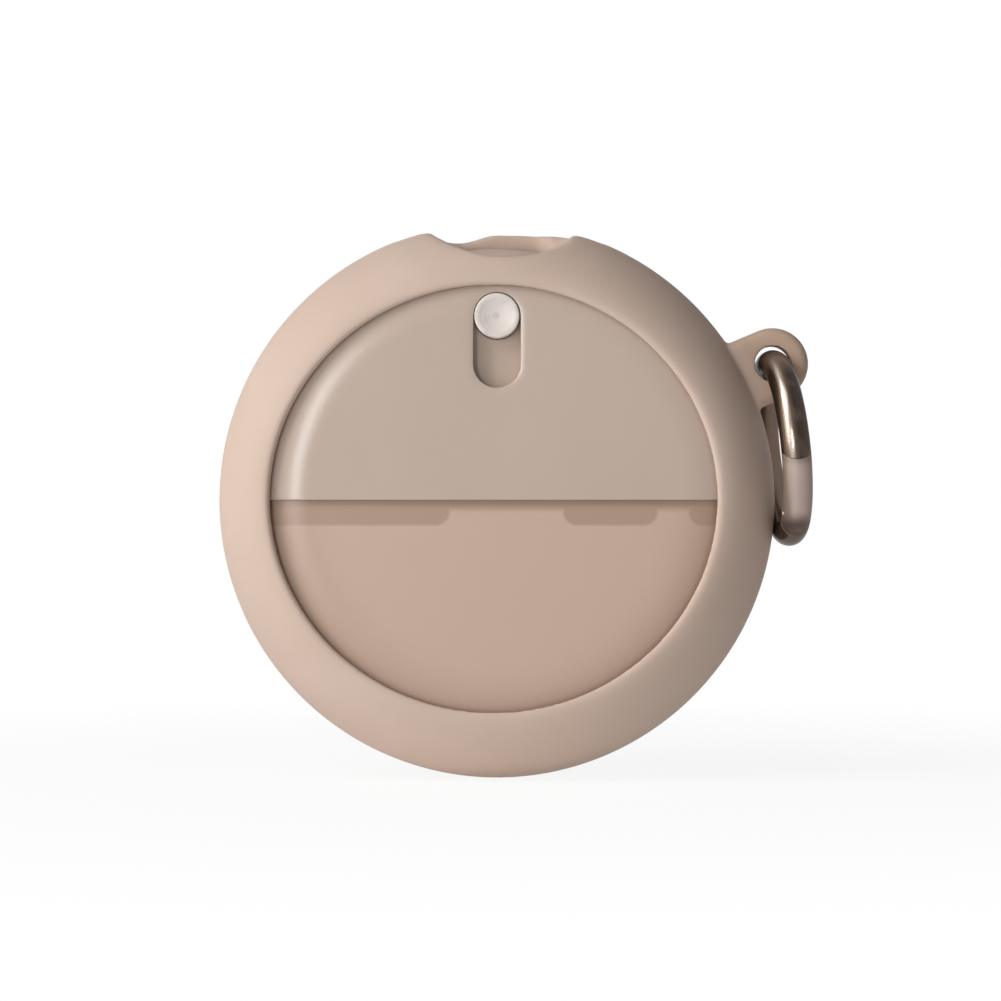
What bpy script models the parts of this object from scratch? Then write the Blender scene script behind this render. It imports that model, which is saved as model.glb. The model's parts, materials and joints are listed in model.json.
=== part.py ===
"""A round two-shell treat case in a soft bumper sleeve, with a slide gate and a carry ring.

The case stands upright: its front faces -Y, +X is to the right and +Z is up. The origin is the
centre of its back face. Depths are written as h, the distance in front of the back face, so a
point at (x, h, z) lies at Y = -h. Angles go round the case's axis from +X towards +Z.
"""

import math

import bmesh
import bpy
from mathutils import Matrix, Vector

# Driving sizes, in metres, and angles in degrees.

GAP = 0.0003  # clearance between pieces that touch
WALL = 0.0016  # both shells
TURN_STEPS = 60  # facets round the case

# Bumper sleeve
SLEEVE_RADIUS = 0.048
SLEEVE_FRONT = 0.025  # h of its front crown
SLEEVE_BACK = 0.0004  # h of its back crown
SLEEVE_WALL = 0.0047  # at mid-depth, over the shells
CROWN_WIDTH = 0.0075  # from the crown out to the rim
CROWN_POWER = 2.7  # squareness of the rolled section
LIP_THICKNESS = 0.0009
SIDE_BAND = 0.0101  # rim to lip, at the sides of the front opening
TOP_BAND = 0.0118
BACK_BAND = 0.009
OPENING_SHIFT = (-0.0006, 0.0002)  # the soft lip sits a little to one side

# Pouring notch in the sleeve
NOTCH_LEFT = -0.0116
NOTCH_RIGHT = 0.0135
NOTCH_CREST_DROP = 0.0065  # front crest below the sleeve's top
NOTCH_BACK_DROP = 0.0013  # flat wall behind the mouth, below the sleeve's top
NOTCH_DIP_DROP = 0.0028  # low corner at the left end of that wall
NOTCH_DIP_X = -0.0067
NOTCH_POWER = 3.0  # steepness of the notch's ends
NOTCH_MARGIN = 0.002  # cutter past each end

# Carry lug on the sleeve
LUG_ANGLE = 26.3
LUG_REACH = 0.005  # hole centre beyond the sleeve's rim
LUG_HOLE_RADIUS = 0.0031
LUG_RIM = 0.0031  # ring of rubber round the hole
LUG_THICKNESS = 0.005
LUG_ROUNDING = 0.0014
LUG_ROOT_ANGLES = (-7.4, 8.6)  # its root's ends, from its own angle
LUG_ROOT_DEPTH = 0.0025  # how far its root runs into the sleeve

# Shells
COVER_SETBACK = 0.0008  # cover's face behind the sleeve's crown
WINDOW_STEP = 0.0006  # window's face behind the cover's
FRONT_EDGE_WIDTH = 0.011  # rounding of the front shells, seen from the front
BACK_EDGE_WIDTH = 0.015
BACK_EDGE_DEPTH = 0.005
PARTING = 0.0172  # h of the rear shell's rim
SEAL_THICKNESS = 0.0004
HOOK_WIDTH = 0.004
HOOK_REACH = 0.0010  # nib beyond the leg
HOOK_LENGTH = 0.0035  # below the rear shell's rim
COVER_HOOKS = (35.0, 145.0)
WINDOW_HOOKS = (215.0, 270.0, 325.0)

# Lap strip and tongues that hold the window to the cover
LAP_BAR = 0.003
LAP_STRIP = 0.0017
LAP_TONGUE = 0.0041
LAP_THICKNESS = 0.001
TONGUES = ((-0.040, -0.0080), (0.0115, 0.0268), (0.0327, 0.040))
TONGUE_CORNER = 0.0016

# Button, slot and slider
BUTTON_DROP = 0.0102  # button's centre below the shells' inside
BUTTON_RADIUS = 0.00385
BUTTON_TRAVEL = 0.0082
BUTTON_PROUD = 0.0003
BUTTON_DISH = 0.0005
STEM_RADIUS = 0.002
SLOT_CLEARANCE = 0.00017
PAD = 0.0004  # thickening of the cover behind which the slider runs
SLIDER_HALF_WIDTH = 0.0065
PLATE_THICKNESS = 0.0012
PLATE_LAP = 0.0008  # slide plate below the slot's end
WEB_THICKNESS = 0.0012
BLOCK_CLEARANCE = 0.0004

# Rails, detent and screws
RAIL_RISE = 0.0028  # rails' top above the button's centre
RAIL_LENGTH = 0.02
RAIL_WIDTH = 0.0042
RAIL_LIP = 0.001
RAIL_LIP_REACH = 0.0015  # lip over the slider's edge
SCREW_RADIUS = 0.0008
SCREW_HEAD_RADIUS = 0.0015
SCREW_HEAD_HEIGHT = 0.001
SCREW_SKIN = 0.0006  # cover left in front of a screw hole
LOW_SCREW_INSET = 0.003  # from the rails' ends
HIGH_SCREW_INSET = 0.0085
LEAF_THICKNESS = 0.0003
LEAF_WIDTH = 0.003
LEAF_RISE = 0.0012  # bump of the detent leaf
GROOVE_RADIUS = 0.0005

# Pouring mouth and gate
MOUTH_HALF_WIDTH = 0.008
MOUTH_STEP = 0.0008  # rear shell between the mouth and its rounding
MOUTH_BRIDGE = 0.0014  # rear shell between the mouth and its rim
MOUTH_CORNER = 0.002
PLUG_CLEARANCE = 0.0004
GATE_DEPTH = 0.0028
GATE_SEAL_THICKNESS = 0.0008
GATE_LAND = 0.001
MOUTH_RELIEF = 0.001  # sleeve's opening beyond the mouth

# Carry ring
RING_INSIDE_RADIUS = 0.012
RING_WIRE_RADIUS = 0.0025
RING_YAW = 4.8
RING_SIDES = 4  # bevel resolution of the wire
RING_STEP = 9.0  # degrees of arc in one facet
GATE_TIP_ANGLE = 98.0  # top of the gate's outside
GATE_PIN_ANGLE = 138.0
GATE_SEAM_ANGLE = 153.5  # bottom of the gate's outside
NOSE_LAP = 0.0016  # gate's inside half past its outside half
PIN_RADIUS = 0.0006
PIN_CLEARANCE = 0.00015
TONGUE_RADIUS = 0.0012
TONGUE_THICKNESS = 0.0013
SPRING_RADIUS = 0.00055
SPRING_WIRE = 0.00013
SPRING_LENGTH = 0.0045
SPRING_TURNS = 6

# Sizes that follow from them.

SHELL_RADIUS = SLEEVE_RADIUS - SLEEVE_WALL - GAP
SHELL_INSIDE = SHELL_RADIUS - WALL
OPENING_HALF_WIDTH = SLEEVE_RADIUS - SIDE_BAND
OPENING_HALF_HEIGHT = SLEEVE_RADIUS - TOP_BAND
BACK_OPENING_RADIUS = SLEEVE_RADIUS - BACK_BAND
COVER_FACE = SLEEVE_FRONT - COVER_SETBACK
WINDOW_FACE = COVER_FACE - WINDOW_STEP
FRONT_RIM = PARTING + SEAL_THICKNESS + 2 * GAP
BUTTON_Z = SHELL_INSIDE - BUTTON_DROP
SLOT_HALF_WIDTH = BUTTON_RADIUS + SLOT_CLEARANCE
PAD_FACE = COVER_FACE - WALL - PAD
PLATE_FRONT = PAD_FACE - GAP
PLATE_BACK = PLATE_FRONT - PLATE_THICKNESS
WEB_FRONT = PLATE_BACK - GAP
WEB_BACK = WEB_FRONT - WEB_THICKNESS
LIP_FRONT = WEB_BACK - GAP
LIP_BACK = LIP_FRONT - RAIL_LIP
LEAF_FRONT = LIP_BACK - GAP
LEAF_BACK = LEAF_FRONT - LEAF_THICKNESS
RAIL_INSIDE = SLIDER_HALF_WIDTH + GAP
RAIL_OUTSIDE = RAIL_INSIDE + RAIL_WIDTH
RAIL_HIGH = BUTTON_Z + RAIL_RISE
RAIL_LOW = RAIL_HIGH - RAIL_LENGTH
SCREW_X = (RAIL_INSIDE + RAIL_OUTSIDE) / 2
LOW_SCREW_Z = RAIL_LOW + LOW_SCREW_INSET
HIGH_SCREW_Z = RAIL_HIGH - HIGH_SCREW_INSET
BUTTON_BASE = PLATE_FRONT + GAP
STEM_END = WEB_BACK - GAP / 2
RING_RADIUS = RING_INSIDE_RADIUS + RING_WIRE_RADIUS
LUG_H = (SLEEVE_FRONT + SLEEVE_BACK) / 2
LUG_RADIUS = SLEEVE_RADIUS + LUG_REACH
MOUTH_HIGH = PARTING - MOUTH_BRIDGE
MOUTH_LOW = BACK_EDGE_DEPTH + MOUTH_STEP
GATE_SEAL_TOP = SHELL_INSIDE - GAP
GATE_TOP = GATE_SEAL_TOP - GATE_SEAL_THICKNESS - GAP
GATE_BOTTOM = GATE_TOP - GATE_DEPTH

# Local x and y of a flat outline become X and Z, and its height becomes h.
FACING_FRONT = Matrix(((1, 0, 0, 0), (0, 0, -1, 0), (0, 1, 0, 0), (0, 0, 0, 1)))
# Local x and y of a flat outline become X and h.
UPSIDE_DOWN = Matrix.Diagonal((1, -1, -1, 1))
# Local x and y of a flat outline become Y and Z, and its height becomes X.
FACING_SIDE = Matrix(((0, 0, 1, 0), (1, 0, 0, 0), (0, 1, 0, 0), (0, 0, 0, 1)))


# Scene helpers.


def clear_scene():
    """Removes every object of the open file."""
    for obj in list(bpy.data.objects):
        bpy.data.objects.remove(obj, do_unlink=True)


def new_collection(name):
    """Returns a new collection of the scene."""
    found = bpy.data.collections.new(name)
    bpy.context.scene.collection.children.link(found)
    return found


def finish(name, color, roughness, metallic=0.0, transmission=0.0):
    """Returns a plain material of one colour."""
    found = bpy.data.materials.new(name)
    found.use_nodes = True
    shader = found.node_tree.nodes["Principled BSDF"]
    shader.inputs["Base Color"].default_value = (*color, 1.0)
    shader.inputs["Roughness"].default_value = roughness
    shader.inputs["Metallic"].default_value = metallic
    shader.inputs["Transmission Weight"].default_value = transmission
    return found


def add_part(name, mesh, look, parent=None):
    """Adds one piece of the case, in its own material."""
    obj = bpy.data.objects.new(name, mesh)
    PARTS.objects.link(obj)
    mesh.name = name
    mesh.materials.clear()
    mesh.materials.append(look)
    mesh.shade_smooth()
    mesh.set_sharp_from_angle(angle=math.radians(35))
    obj.parent = parent
    return obj


def add_tool(mesh, name="cutter", parent=None):
    """Adds a mesh that only cuts or joins."""
    obj = bpy.data.objects.new(name, mesh)
    TOOLS.objects.link(obj)
    obj.hide_render = True
    obj.display_type = "WIRE"
    obj.parent = parent
    return obj


def combine(obj, operation, *meshes):
    """Cuts, joins or intersects an object with each mesh in turn."""
    for mesh in meshes:
        tool = mesh
        if isinstance(mesh, bpy.types.Mesh):
            tool = add_tool(mesh, f"{obj.name}_{operation.lower()}", obj.parent)
        modifier = obj.modifiers.new(operation.title(), "BOOLEAN")
        modifier.operation = operation
        modifier.solver = "EXACT"
        modifier.object = tool
    return obj


# Mesh builders. Each returns a closed mesh in the frame of its piece.


def to_mesh(bm, name="mesh"):
    """Returns a bmesh as a mesh with its faces pointing out."""
    bm.normal_update()
    bmesh.ops.recalc_face_normals(bm, faces=bm.faces)
    mesh = bpy.data.meshes.new(name)
    bm.to_mesh(mesh)
    bm.free()
    return mesh


def block(x, h, z, corner=0.0, axis=None):
    """Returns a box from pairs of limits, with rounded edges along one axis if asked."""
    low = Vector((x[0], -h[1], z[0]))
    high = Vector((x[1], -h[0], z[1]))
    bm = bmesh.new()
    bmesh.ops.create_cube(bm, size=1.0)
    size = high - low
    for vert in bm.verts:
        vert.co = Vector((vert.co[i] * size[i] for i in range(3))) + (low + high) / 2
    if corner:
        along = [
            edge
            for edge in bm.edges
            if abs((edge.verts[1].co - edge.verts[0].co).normalized()[axis]) > 0.99
        ]
        bmesh.ops.bevel(bm, geom=along, offset=corner, segments=4, profile=0.5, affect="EDGES")
    return to_mesh(bm)


def rod(start, end, radius, sides=32):
    """Returns a cylinder between two points."""
    start = Vector(start)
    end = Vector(end)
    bm = bmesh.new()
    bmesh.ops.create_cone(
        bm, cap_ends=True, segments=sides, radius1=radius, radius2=radius, depth=(end - start).length
    )
    turn = Vector((0, 0, 1)).rotation_difference(end - start).to_matrix().to_4x4()
    bm.transform(Matrix.Translation((start + end) / 2) @ turn)
    return to_mesh(bm)


def rod_through(x, z, h, radius, sides=24):
    """Returns a cylinder along the case's axis, at x and z, between two depths."""
    return rod((x, -h[0], z), (x, -h[1], z), radius, sides)


def curve_mesh(curve, place):
    """Returns a curve as a welded mesh, with the transform applied."""
    obj = bpy.data.objects.new("curve", curve)
    TOOLS.objects.link(obj)
    bpy.context.view_layer.update()
    graph = bpy.context.evaluated_depsgraph_get()
    mesh = bpy.data.meshes.new_from_object(obj.evaluated_get(graph))
    bpy.data.objects.remove(obj, do_unlink=True)
    bm = bmesh.new()
    bm.from_mesh(mesh)
    bmesh.ops.remove_doubles(bm, verts=bm.verts, dist=1e-7)
    bm.transform(place)
    return to_mesh(bm)


def plate(outline, low, high, facing):
    """Returns a flat outline with thickness, from low to high along its facing."""
    curve = bpy.data.curves.new("outline", "CURVE")
    curve.dimensions = "2D"
    curve.fill_mode = "BOTH"
    curve.extrude = (high - low) / 2
    spline = curve.splines.new("POLY")
    spline.points.add(len(outline) - 1)
    for point, (u, v) in zip(spline.points, outline):
        point.co = (u, v, 0.0, 1.0)
    spline.use_cyclic_u = True
    return curve_mesh(curve, facing @ Matrix.Translation((0, 0, (low + high) / 2)))


def wire(points, radius, resolution):
    """Returns a round wire with flat ends along points."""
    curve = bpy.data.curves.new("wire", "CURVE")
    curve.dimensions = "3D"
    curve.bevel_depth = radius
    curve.bevel_resolution = resolution
    curve.use_fill_caps = True
    spline = curve.splines.new("POLY")
    spline.points.add(len(points) - 1)
    for point, place in zip(spline.points, points):
        point.co = (*place, 1.0)
    return curve_mesh(curve, Matrix.Identity(4))


def turned(profile, steps=TURN_STEPS, closed=False, place=FACING_FRONT):
    """Returns an outline of (radius, h) points turned round the case's axis."""
    mesh = bpy.data.meshes.new("profile")
    edges = [(i, i + 1) for i in range(len(profile) - 1)]
    if closed:
        edges.append((len(profile) - 1, 0))
    mesh.from_pydata([(radius, 0.0, h) for radius, h in profile], edges, [])
    obj = bpy.data.objects.new("profile", mesh)
    TOOLS.objects.link(obj)
    screw = obj.modifiers.new("Turn", "SCREW")
    screw.steps = steps
    screw.render_steps = steps
    screw.use_merge_vertices = True
    screw.merge_threshold = 1e-6
    bpy.context.view_layer.update()
    graph = bpy.context.evaluated_depsgraph_get()
    found = bpy.data.meshes.new_from_object(obj.evaluated_get(graph))
    bpy.data.objects.remove(obj, do_unlink=True)
    found.transform(place @ Matrix.Rotation(math.pi / steps, 4, "Z"))
    return found


# Outlines.


def arc(centre, radius, start, end, count):
    """Returns points along an arc, from one angle to another in degrees."""
    turns = [math.radians(start + (end - start) * i / (count - 1)) for i in range(count)]
    return [(centre[0] + radius * math.cos(t), centre[1] + radius * math.sin(t)) for t in turns]


def stadium(half_width, low, high, count=13):
    """Returns an upright slot's outline between the centres of its round ends."""
    return arc((0, high), half_width, 0, 180, count) + arc((0, low), half_width, 180, 360, count)


def front_curve(face, inset, start=0.0, count=7):
    """Returns (radius, h) points down the rounding of a front shell, inset from its outside."""
    centre = SHELL_RADIUS - FRONT_EDGE_WIDTH
    across = FRONT_EDGE_WIDTH - inset
    deep = face - FRONT_RIM - inset
    first = math.asin(min(1.0, max(0.0, (start - centre) / across)))
    turns = [first + (math.pi / 2 - first) * i / (count - 1) for i in range(count)]
    return [(centre + across * math.sin(t), FRONT_RIM + deep * math.cos(t)) for t in turns]


def back_curve(inset, start=0.0, count=7):
    """Returns (radius, h) points up the rounding of the rear shell, inset from its outside."""
    centre = SHELL_RADIUS - BACK_EDGE_WIDTH
    across = BACK_EDGE_WIDTH - inset
    deep = BACK_EDGE_DEPTH - inset
    first = math.asin(min(1.0, max(0.0, (start - centre) / across)))
    turns = [first + (math.pi / 2 - first) * i / (count - 1) for i in range(count)]
    return [(centre + across * math.sin(t), BACK_EDGE_DEPTH - deep * math.cos(t)) for t in turns]


def inner_radius_at(h):
    """Returns the inside radius of the cover's rounding at a depth."""
    deep = COVER_FACE - FRONT_RIM - WALL
    share = min(1.0, (h - FRONT_RIM) / deep)
    across = FRONT_EDGE_WIDTH - WALL
    return SHELL_RADIUS - FRONT_EDGE_WIDTH + across * math.sqrt(1 - share * share)


def reach_at(h, half_width):
    """Returns how high a flat piece of this half width reaches inside the cover at a depth."""
    return math.sqrt(inner_radius_at(h) ** 2 - half_width**2)


def polar(radius, angle):
    """Returns x and z at a radius and an angle in degrees."""
    turn = math.radians(angle)
    return Vector((radius * math.cos(turn), radius * math.sin(turn)))


# Bumper sleeve.


def lip_radius(angle):
    """Returns the radius of the oval front opening at an angle in radians."""
    cos, sin = math.cos(angle), math.sin(angle)
    wide, tall = OPENING_HALF_WIDTH, OPENING_HALF_HEIGHT
    shift_x, shift_z = OPENING_SHIFT
    square = (cos / wide) ** 2 + (sin / tall) ** 2
    middle = cos * shift_x / wide**2 + sin * shift_z / tall**2
    rest = (shift_x / wide) ** 2 + (shift_z / tall) ** 2 - 1
    return (middle + math.sqrt(middle**2 - square * rest)) / square


def lip(radius, under, out):
    """Returns the rolled edge of a lip, from its underside to its outside."""
    bead = LIP_THICKNESS / 2
    centre = under + out * bead
    turns = [math.radians(90 * i / 2) for i in range(1, 4)]
    edge = [(radius + bead * (1 - math.sin(t)), centre - out * bead * math.cos(t)) for t in turns]
    return edge + [(radius + bead, centre + out * bead)]


def crown():
    """Returns the sleeve's outside from its front crown over its rim to its back crown."""
    centre_r = SLEEVE_RADIUS - CROWN_WIDTH
    centre_h = (SLEEVE_FRONT + SLEEVE_BACK) / 2
    half = (SLEEVE_FRONT - SLEEVE_BACK) / 2
    points = []
    for i in range(17):
        turn = math.pi * i / 16
        sin = max(0.0, math.sin(turn)) ** (2 / CROWN_POWER)
        cos = abs(math.cos(turn)) ** (2 / CROWN_POWER)
        side = 1 if i <= 8 else -1
        points.append((centre_r + CROWN_WIDTH * sin, centre_h + half * side * cos))
    return points


def sleeve_section(angle):
    """Returns the closed section of the sleeve at an angle in radians."""
    radius = lip_radius(angle)
    front = front_curve(COVER_FACE, -GAP, radius, 6)
    back = back_curve(-GAP, BACK_OPENING_RADIUS, 5)
    front_lip = lip(radius, front[0][1], 1)
    back_lip = lip(BACK_OPENING_RADIUS, back[0][1], -1)
    front_under = [(radius + LIP_THICKNESS / 2, front[0][1])]
    back_under = [(BACK_OPENING_RADIUS + LIP_THICKNESS / 2, back[0][1])]
    outside = front_under + front_lip + crown() + back_lip[::-1] + back_under
    return outside + back[1:] + front[:0:-1]


def sleeve_band(steps):
    """Returns the sleeve's band, lofted through its sections round the case."""
    bm = bmesh.new()
    rings = []
    for i in range(steps):
        angle = 2 * math.pi * i / steps
        section = sleeve_section(angle)
        cos, sin = math.cos(angle), math.sin(angle)
        rings.append([bm.verts.new((r * cos, -h, r * sin)) for r, h in section])
    for near, far in zip(rings, rings[1:] + rings[:1]):
        for a, b, c, d in zip(near, near[1:] + near[:1], far[1:] + far[:1], far):
            bm.faces.new((a, b, c, d))
    return to_mesh(bm)


def notch_height(x, h):
    """Returns how high the sleeve is left at x and depth h inside the pouring notch."""
    centre = (NOTCH_LEFT + NOTCH_RIGHT) / 2
    half = (NOTCH_RIGHT - NOTCH_LEFT) / 2
    crest = SLEEVE_RADIUS - NOTCH_CREST_DROP
    rise = math.sqrt(SLEEVE_RADIUS**2 - half**2) - crest
    front = crest + rise * (abs(x - centre) / half) ** NOTCH_POWER
    dip = SLEEVE_RADIUS - NOTCH_DIP_DROP
    if x < NOTCH_DIP_X:
        end = math.sqrt(SLEEVE_RADIUS**2 - NOTCH_LEFT**2)
        back = dip + (end - dip) * ((NOTCH_DIP_X - x) / (NOTCH_DIP_X - NOTCH_LEFT)) ** NOTCH_POWER
    else:
        share = min(1.0, (x - NOTCH_DIP_X) / -NOTCH_DIP_X)
        back = dip + (NOTCH_DIP_DROP - NOTCH_BACK_DROP) * share * share * (3 - 2 * share)
    share = min(1.0, max(0.0, (MOUTH_HIGH - h) / (MOUTH_HIGH - MOUTH_LOW)))
    return front + (back - front) * share * share * (3 - 2 * share)


def notch_cutter():
    """Returns the space above the pouring notch."""
    left = NOTCH_LEFT - NOTCH_MARGIN
    right = NOTCH_RIGHT + NOTCH_MARGIN
    bm = bmesh.new()
    bmesh.ops.create_grid(bm, x_segments=20, y_segments=12, size=0.5)
    for vert in bm.verts:
        x = (left + right) / 2 + vert.co.x * (right - left)
        h = SLEEVE_FRONT / 2 - vert.co.y * (SLEEVE_FRONT + 2 * WALL)
        vert.co = (x, -h, notch_height(x, h))
    top = bmesh.ops.extrude_face_region(bm, geom=bm.faces[:])["geom"]
    for vert in top:
        if isinstance(vert, bmesh.types.BMVert):
            vert.co.z = SLEEVE_RADIUS + NOTCH_CREST_DROP
    return to_mesh(bm)


def tangent_point(centre, radius, outside, side):
    """Returns where a line from an outside point touches a circle, on one side of it."""
    away = outside - centre
    turn = math.atan2(away.y, away.x) + side * math.acos(radius / away.length)
    return math.degrees(turn)


def lug_outline():
    """Returns the lug's outline: a round eye that runs into the sleeve along two tangents."""
    eye = polar(LUG_RADIUS, LUG_ANGLE)
    outer = LUG_HOLE_RADIUS + LUG_RIM
    root_radius = SLEEVE_RADIUS - LUG_ROOT_DEPTH
    low, high = (polar(root_radius, LUG_ANGLE + turn) for turn in LUG_ROOT_ANGLES)
    start = tangent_point(eye, outer, low, 1)
    end = tangent_point(eye, outer, high, -1)
    if end < start:
        end += 360
    return [tuple(low)] + arc(eye, outer, start, end, 19) + [tuple(high)]


def lug():
    """Returns the lug's plate with softened edges."""
    half = LUG_THICKNESS / 2
    mesh = plate(lug_outline(), LUG_H - half, LUG_H + half, FACING_FRONT)
    bm = bmesh.new()
    bm.from_mesh(mesh)
    bmesh.ops.dissolve_limit(bm, angle_limit=0.01, verts=bm.verts, edges=bm.edges)
    rims = [e for e in bm.edges if e.is_manifold and e.calc_face_angle() > 1.2]
    rims = [e for e in rims if abs(e.verts[0].co.y - e.verts[1].co.y) < GAP]
    bmesh.ops.bevel(bm, geom=rims, offset=LUG_ROUNDING, segments=3, profile=0.5, affect="EDGES")
    return to_mesh(bm)


def make_sleeve():
    """Builds the soft sleeve with its lug, lug hole, pouring notch and mouth relief."""
    sleeve = add_part("bumper_sleeve", sleeve_band(TURN_STEPS), RUBBER)
    eye = polar(LUG_RADIUS, LUG_ANGLE)
    wide = MOUTH_HALF_WIDTH + MOUTH_RELIEF
    deep = (MOUTH_LOW - MOUTH_RELIEF, MOUTH_HIGH + MOUTH_RELIEF)
    tall = (SHELL_RADIUS - WALL, SLEEVE_RADIUS + WALL)
    relief = block((-wide, wide), deep, tall, MOUTH_CORNER + MOUTH_RELIEF, 2)
    combine(sleeve, "UNION", lug())
    hole = rod_through(eye.x, eye.y, (0, SLEEVE_FRONT), LUG_HOLE_RADIUS, 32)
    combine(sleeve, "DIFFERENCE", hole, notch_cutter(), relief)


# Shells and their seal.


def curve_height(face, inset, radius):
    """Returns the depth of a front shell's rounding at a radius, inset from its outside."""
    share = (radius - SHELL_RADIUS + FRONT_EDGE_WIDTH) / (FRONT_EDGE_WIDTH - inset)
    return FRONT_RIM + (face - FRONT_RIM - inset) * math.sqrt(1 - share * share)


def hook(angle, face):
    """Returns a snap hook that grows out of a front shell's wall, behind its rim."""
    outside = SHELL_INSIDE - GAP
    inside = outside - HOOK_REACH
    top = (curve_height(face, WALL, inside) + curve_height(face, 0.0, outside)) / 2
    low = PARTING - HOOK_LENGTH
    profile = [
        (outside, top),
        (outside, low + 2 * HOOK_REACH),
        (outside + HOOK_REACH, low + 1.5 * HOOK_REACH),
        (outside + HOOK_REACH, low + HOOK_REACH),
        (outside, low),
        (inside, low),
        (inside, top),
    ]
    turn = Matrix.Rotation(math.radians(-angle), 4, "Y")
    return plate(profile, -HOOK_WIDTH / 2, HOOK_WIDTH / 2, turn @ UPSIDE_DOWN)


def hook_window(angle):
    """Returns the cutter of the rear shell's window for a hook's nib."""
    low = PARTING - HOOK_LENGTH
    high = low + 2 * HOOK_REACH + GAP
    wide = HOOK_WIDTH / 2 + 2 * GAP
    mesh = block((SHELL_INSIDE - WALL, SHELL_RADIUS + WALL), (low, high), (-wide, wide))
    mesh.transform(Matrix.Rotation(math.radians(-angle), 4, "Y"))
    return mesh


def front_shell(face):
    """Returns the full round front shell with its face at a depth."""
    outside = [(0.0, face)] + front_curve(face, 0.0)
    inside = front_curve(face, WALL)[::-1] + [(0.0, face - WALL)]
    return turned(outside + inside)


def layer(outer_face, outer_inset, inner_face, inner_inset):
    """Returns a dome between two insets of the front shells, cut off above their rim."""
    outside = front_curve(outer_face, outer_inset)[:-1]
    inside = front_curve(inner_face, inner_inset)[:-1]
    outside = [(0.0, outside[0][1])] + outside
    return turned(outside + inside[::-1] + [(0.0, inside[0][1])])


def make_lap(side):
    """Returns the tool that holds the cover's lap bar, strip and tongues behind the window."""
    inset = WALL + GAP
    behind = (FRONT_RIM, SLEEVE_FRONT)
    bar_inset = inset + LAP_THICKNESS + GAP
    bar = add_tool(layer(COVER_FACE, WALL / 2, WINDOW_FACE, bar_inset), "lap_bar")
    combine(bar, "INTERSECT", block((-side, side), behind, (0.0, LAP_BAR)))
    strip = add_tool(layer(WINDOW_FACE, inset, WINDOW_FACE, inset + LAP_THICKNESS), "lap_strip")
    shape = add_tool(block((-side, side), behind, (-LAP_STRIP, LAP_BAR - GAP)), "lap_shape")
    for low, high in TONGUES:
        tongue = block((low, high), behind, (-LAP_TONGUE, LAP_BAR / 2), TONGUE_CORNER, 1)
        combine(shape, "UNION", tongue)
    combine(strip, "INTERSECT", shape)
    combine(bar, "UNION", strip)
    return bar


def make_cover():
    """Builds the opaque upper front with its slot, slide pad, lap tongues and hooks."""
    cover = add_part("front_cover", front_shell(COVER_FACE), TAUPE)
    side = SLEEVE_RADIUS
    through = (0, SLEEVE_FRONT + WALL)
    combine(cover, "INTERSECT", block((-side, side), through, (0.0, side)))
    combine(cover, "UNION", make_lap(side))
    pad = (RAIL_LOW - GAP, RAIL_HIGH + GAP)
    deep = (PAD_FACE, COVER_FACE - WALL / 2)
    combine(cover, "UNION", block((-RAIL_OUTSIDE, RAIL_OUTSIDE), deep, pad))
    for angle in COVER_HOOKS:
        combine(cover, "UNION", hook(angle, COVER_FACE))
    slot = stadium(SLOT_HALF_WIDTH, BUTTON_Z - BUTTON_TRAVEL, BUTTON_Z)
    combine(cover, "DIFFERENCE", plate(slot, FRONT_RIM, SLEEVE_FRONT, FACING_FRONT))
    for x, z in screw_places():
        deep = (LIP_BACK, COVER_FACE - SCREW_SKIN)
        combine(cover, "DIFFERENCE", rod_through(x, z, deep, SCREW_RADIUS + GAP, 16))


def make_window():
    """Builds the clear lower front with its hooks."""
    window = add_part("window", front_shell(WINDOW_FACE), CLEAR)
    side = SLEEVE_RADIUS
    combine(window, "INTERSECT", block((-side, side), (0, SLEEVE_FRONT), (-side, -GAP)))
    for angle in WINDOW_HOOKS:
        combine(window, "UNION", hook(angle, WINDOW_FACE))


def make_rear_shell():
    """Builds the rear pan with the pouring mouth and the windows for the hooks."""
    inside = [(0.0, WALL)] + back_curve(WALL) + [(SHELL_INSIDE, PARTING)]
    outside = [(SHELL_RADIUS, PARTING)] + back_curve(0.0)[::-1] + [(0.0, 0.0)]
    rear = add_part("rear_shell", turned(inside + outside), TAUPE)
    tall = (SHELL_INSIDE / 2, SLEEVE_RADIUS)
    wide = (-MOUTH_HALF_WIDTH, MOUTH_HALF_WIDTH)
    combine(rear, "DIFFERENCE", block(wide, (MOUTH_LOW, MOUTH_HIGH), tall, MOUTH_CORNER, 2))
    for angle in COVER_HOOKS + WINDOW_HOOKS:
        combine(rear, "DIFFERENCE", hook_window(angle))


def make_shell_seal():
    """Builds the flat gasket between the two shells."""
    low, high = PARTING + GAP, PARTING + GAP + SEAL_THICKNESS
    inside, outside = SHELL_INSIDE + GAP, SHELL_RADIUS - GAP
    section = [(outside, high), (outside, low), (inside, low), (inside, high)]
    add_part("shell_seal", turned(section, closed=True), SEAL_RUBBER)


# Rails, screws and detent.


def screw_places():
    """Returns x and z of the four rail screws, the lower pair first."""
    return [(x, z) for z in (LOW_SCREW_Z, HIGH_SCREW_Z) for x in (-SCREW_X, SCREW_X)]


def make_rail(name, side):
    """Builds one L-shaped rail, which holds the slider against the cover."""
    z = (RAIL_LOW, RAIL_HIGH)
    wall = sorted((side * RAIL_INSIDE, side * RAIL_OUTSIDE))
    lips = sorted((side * (SLIDER_HALF_WIDTH - RAIL_LIP_REACH), side * RAIL_OUTSIDE))
    rail = add_part(name, block(wall, (LIP_BACK, PLATE_FRONT), z), SLIDER_PLASTIC)
    combine(rail, "UNION", block(lips, (LIP_BACK, LIP_FRONT), z))
    for x, place_z in screw_places():
        if x * side > 0:
            deep = (LEAF_BACK, PAD_FACE)
            combine(rail, "DIFFERENCE", rod_through(x, place_z, deep, SCREW_RADIUS + GAP, 16))


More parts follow.
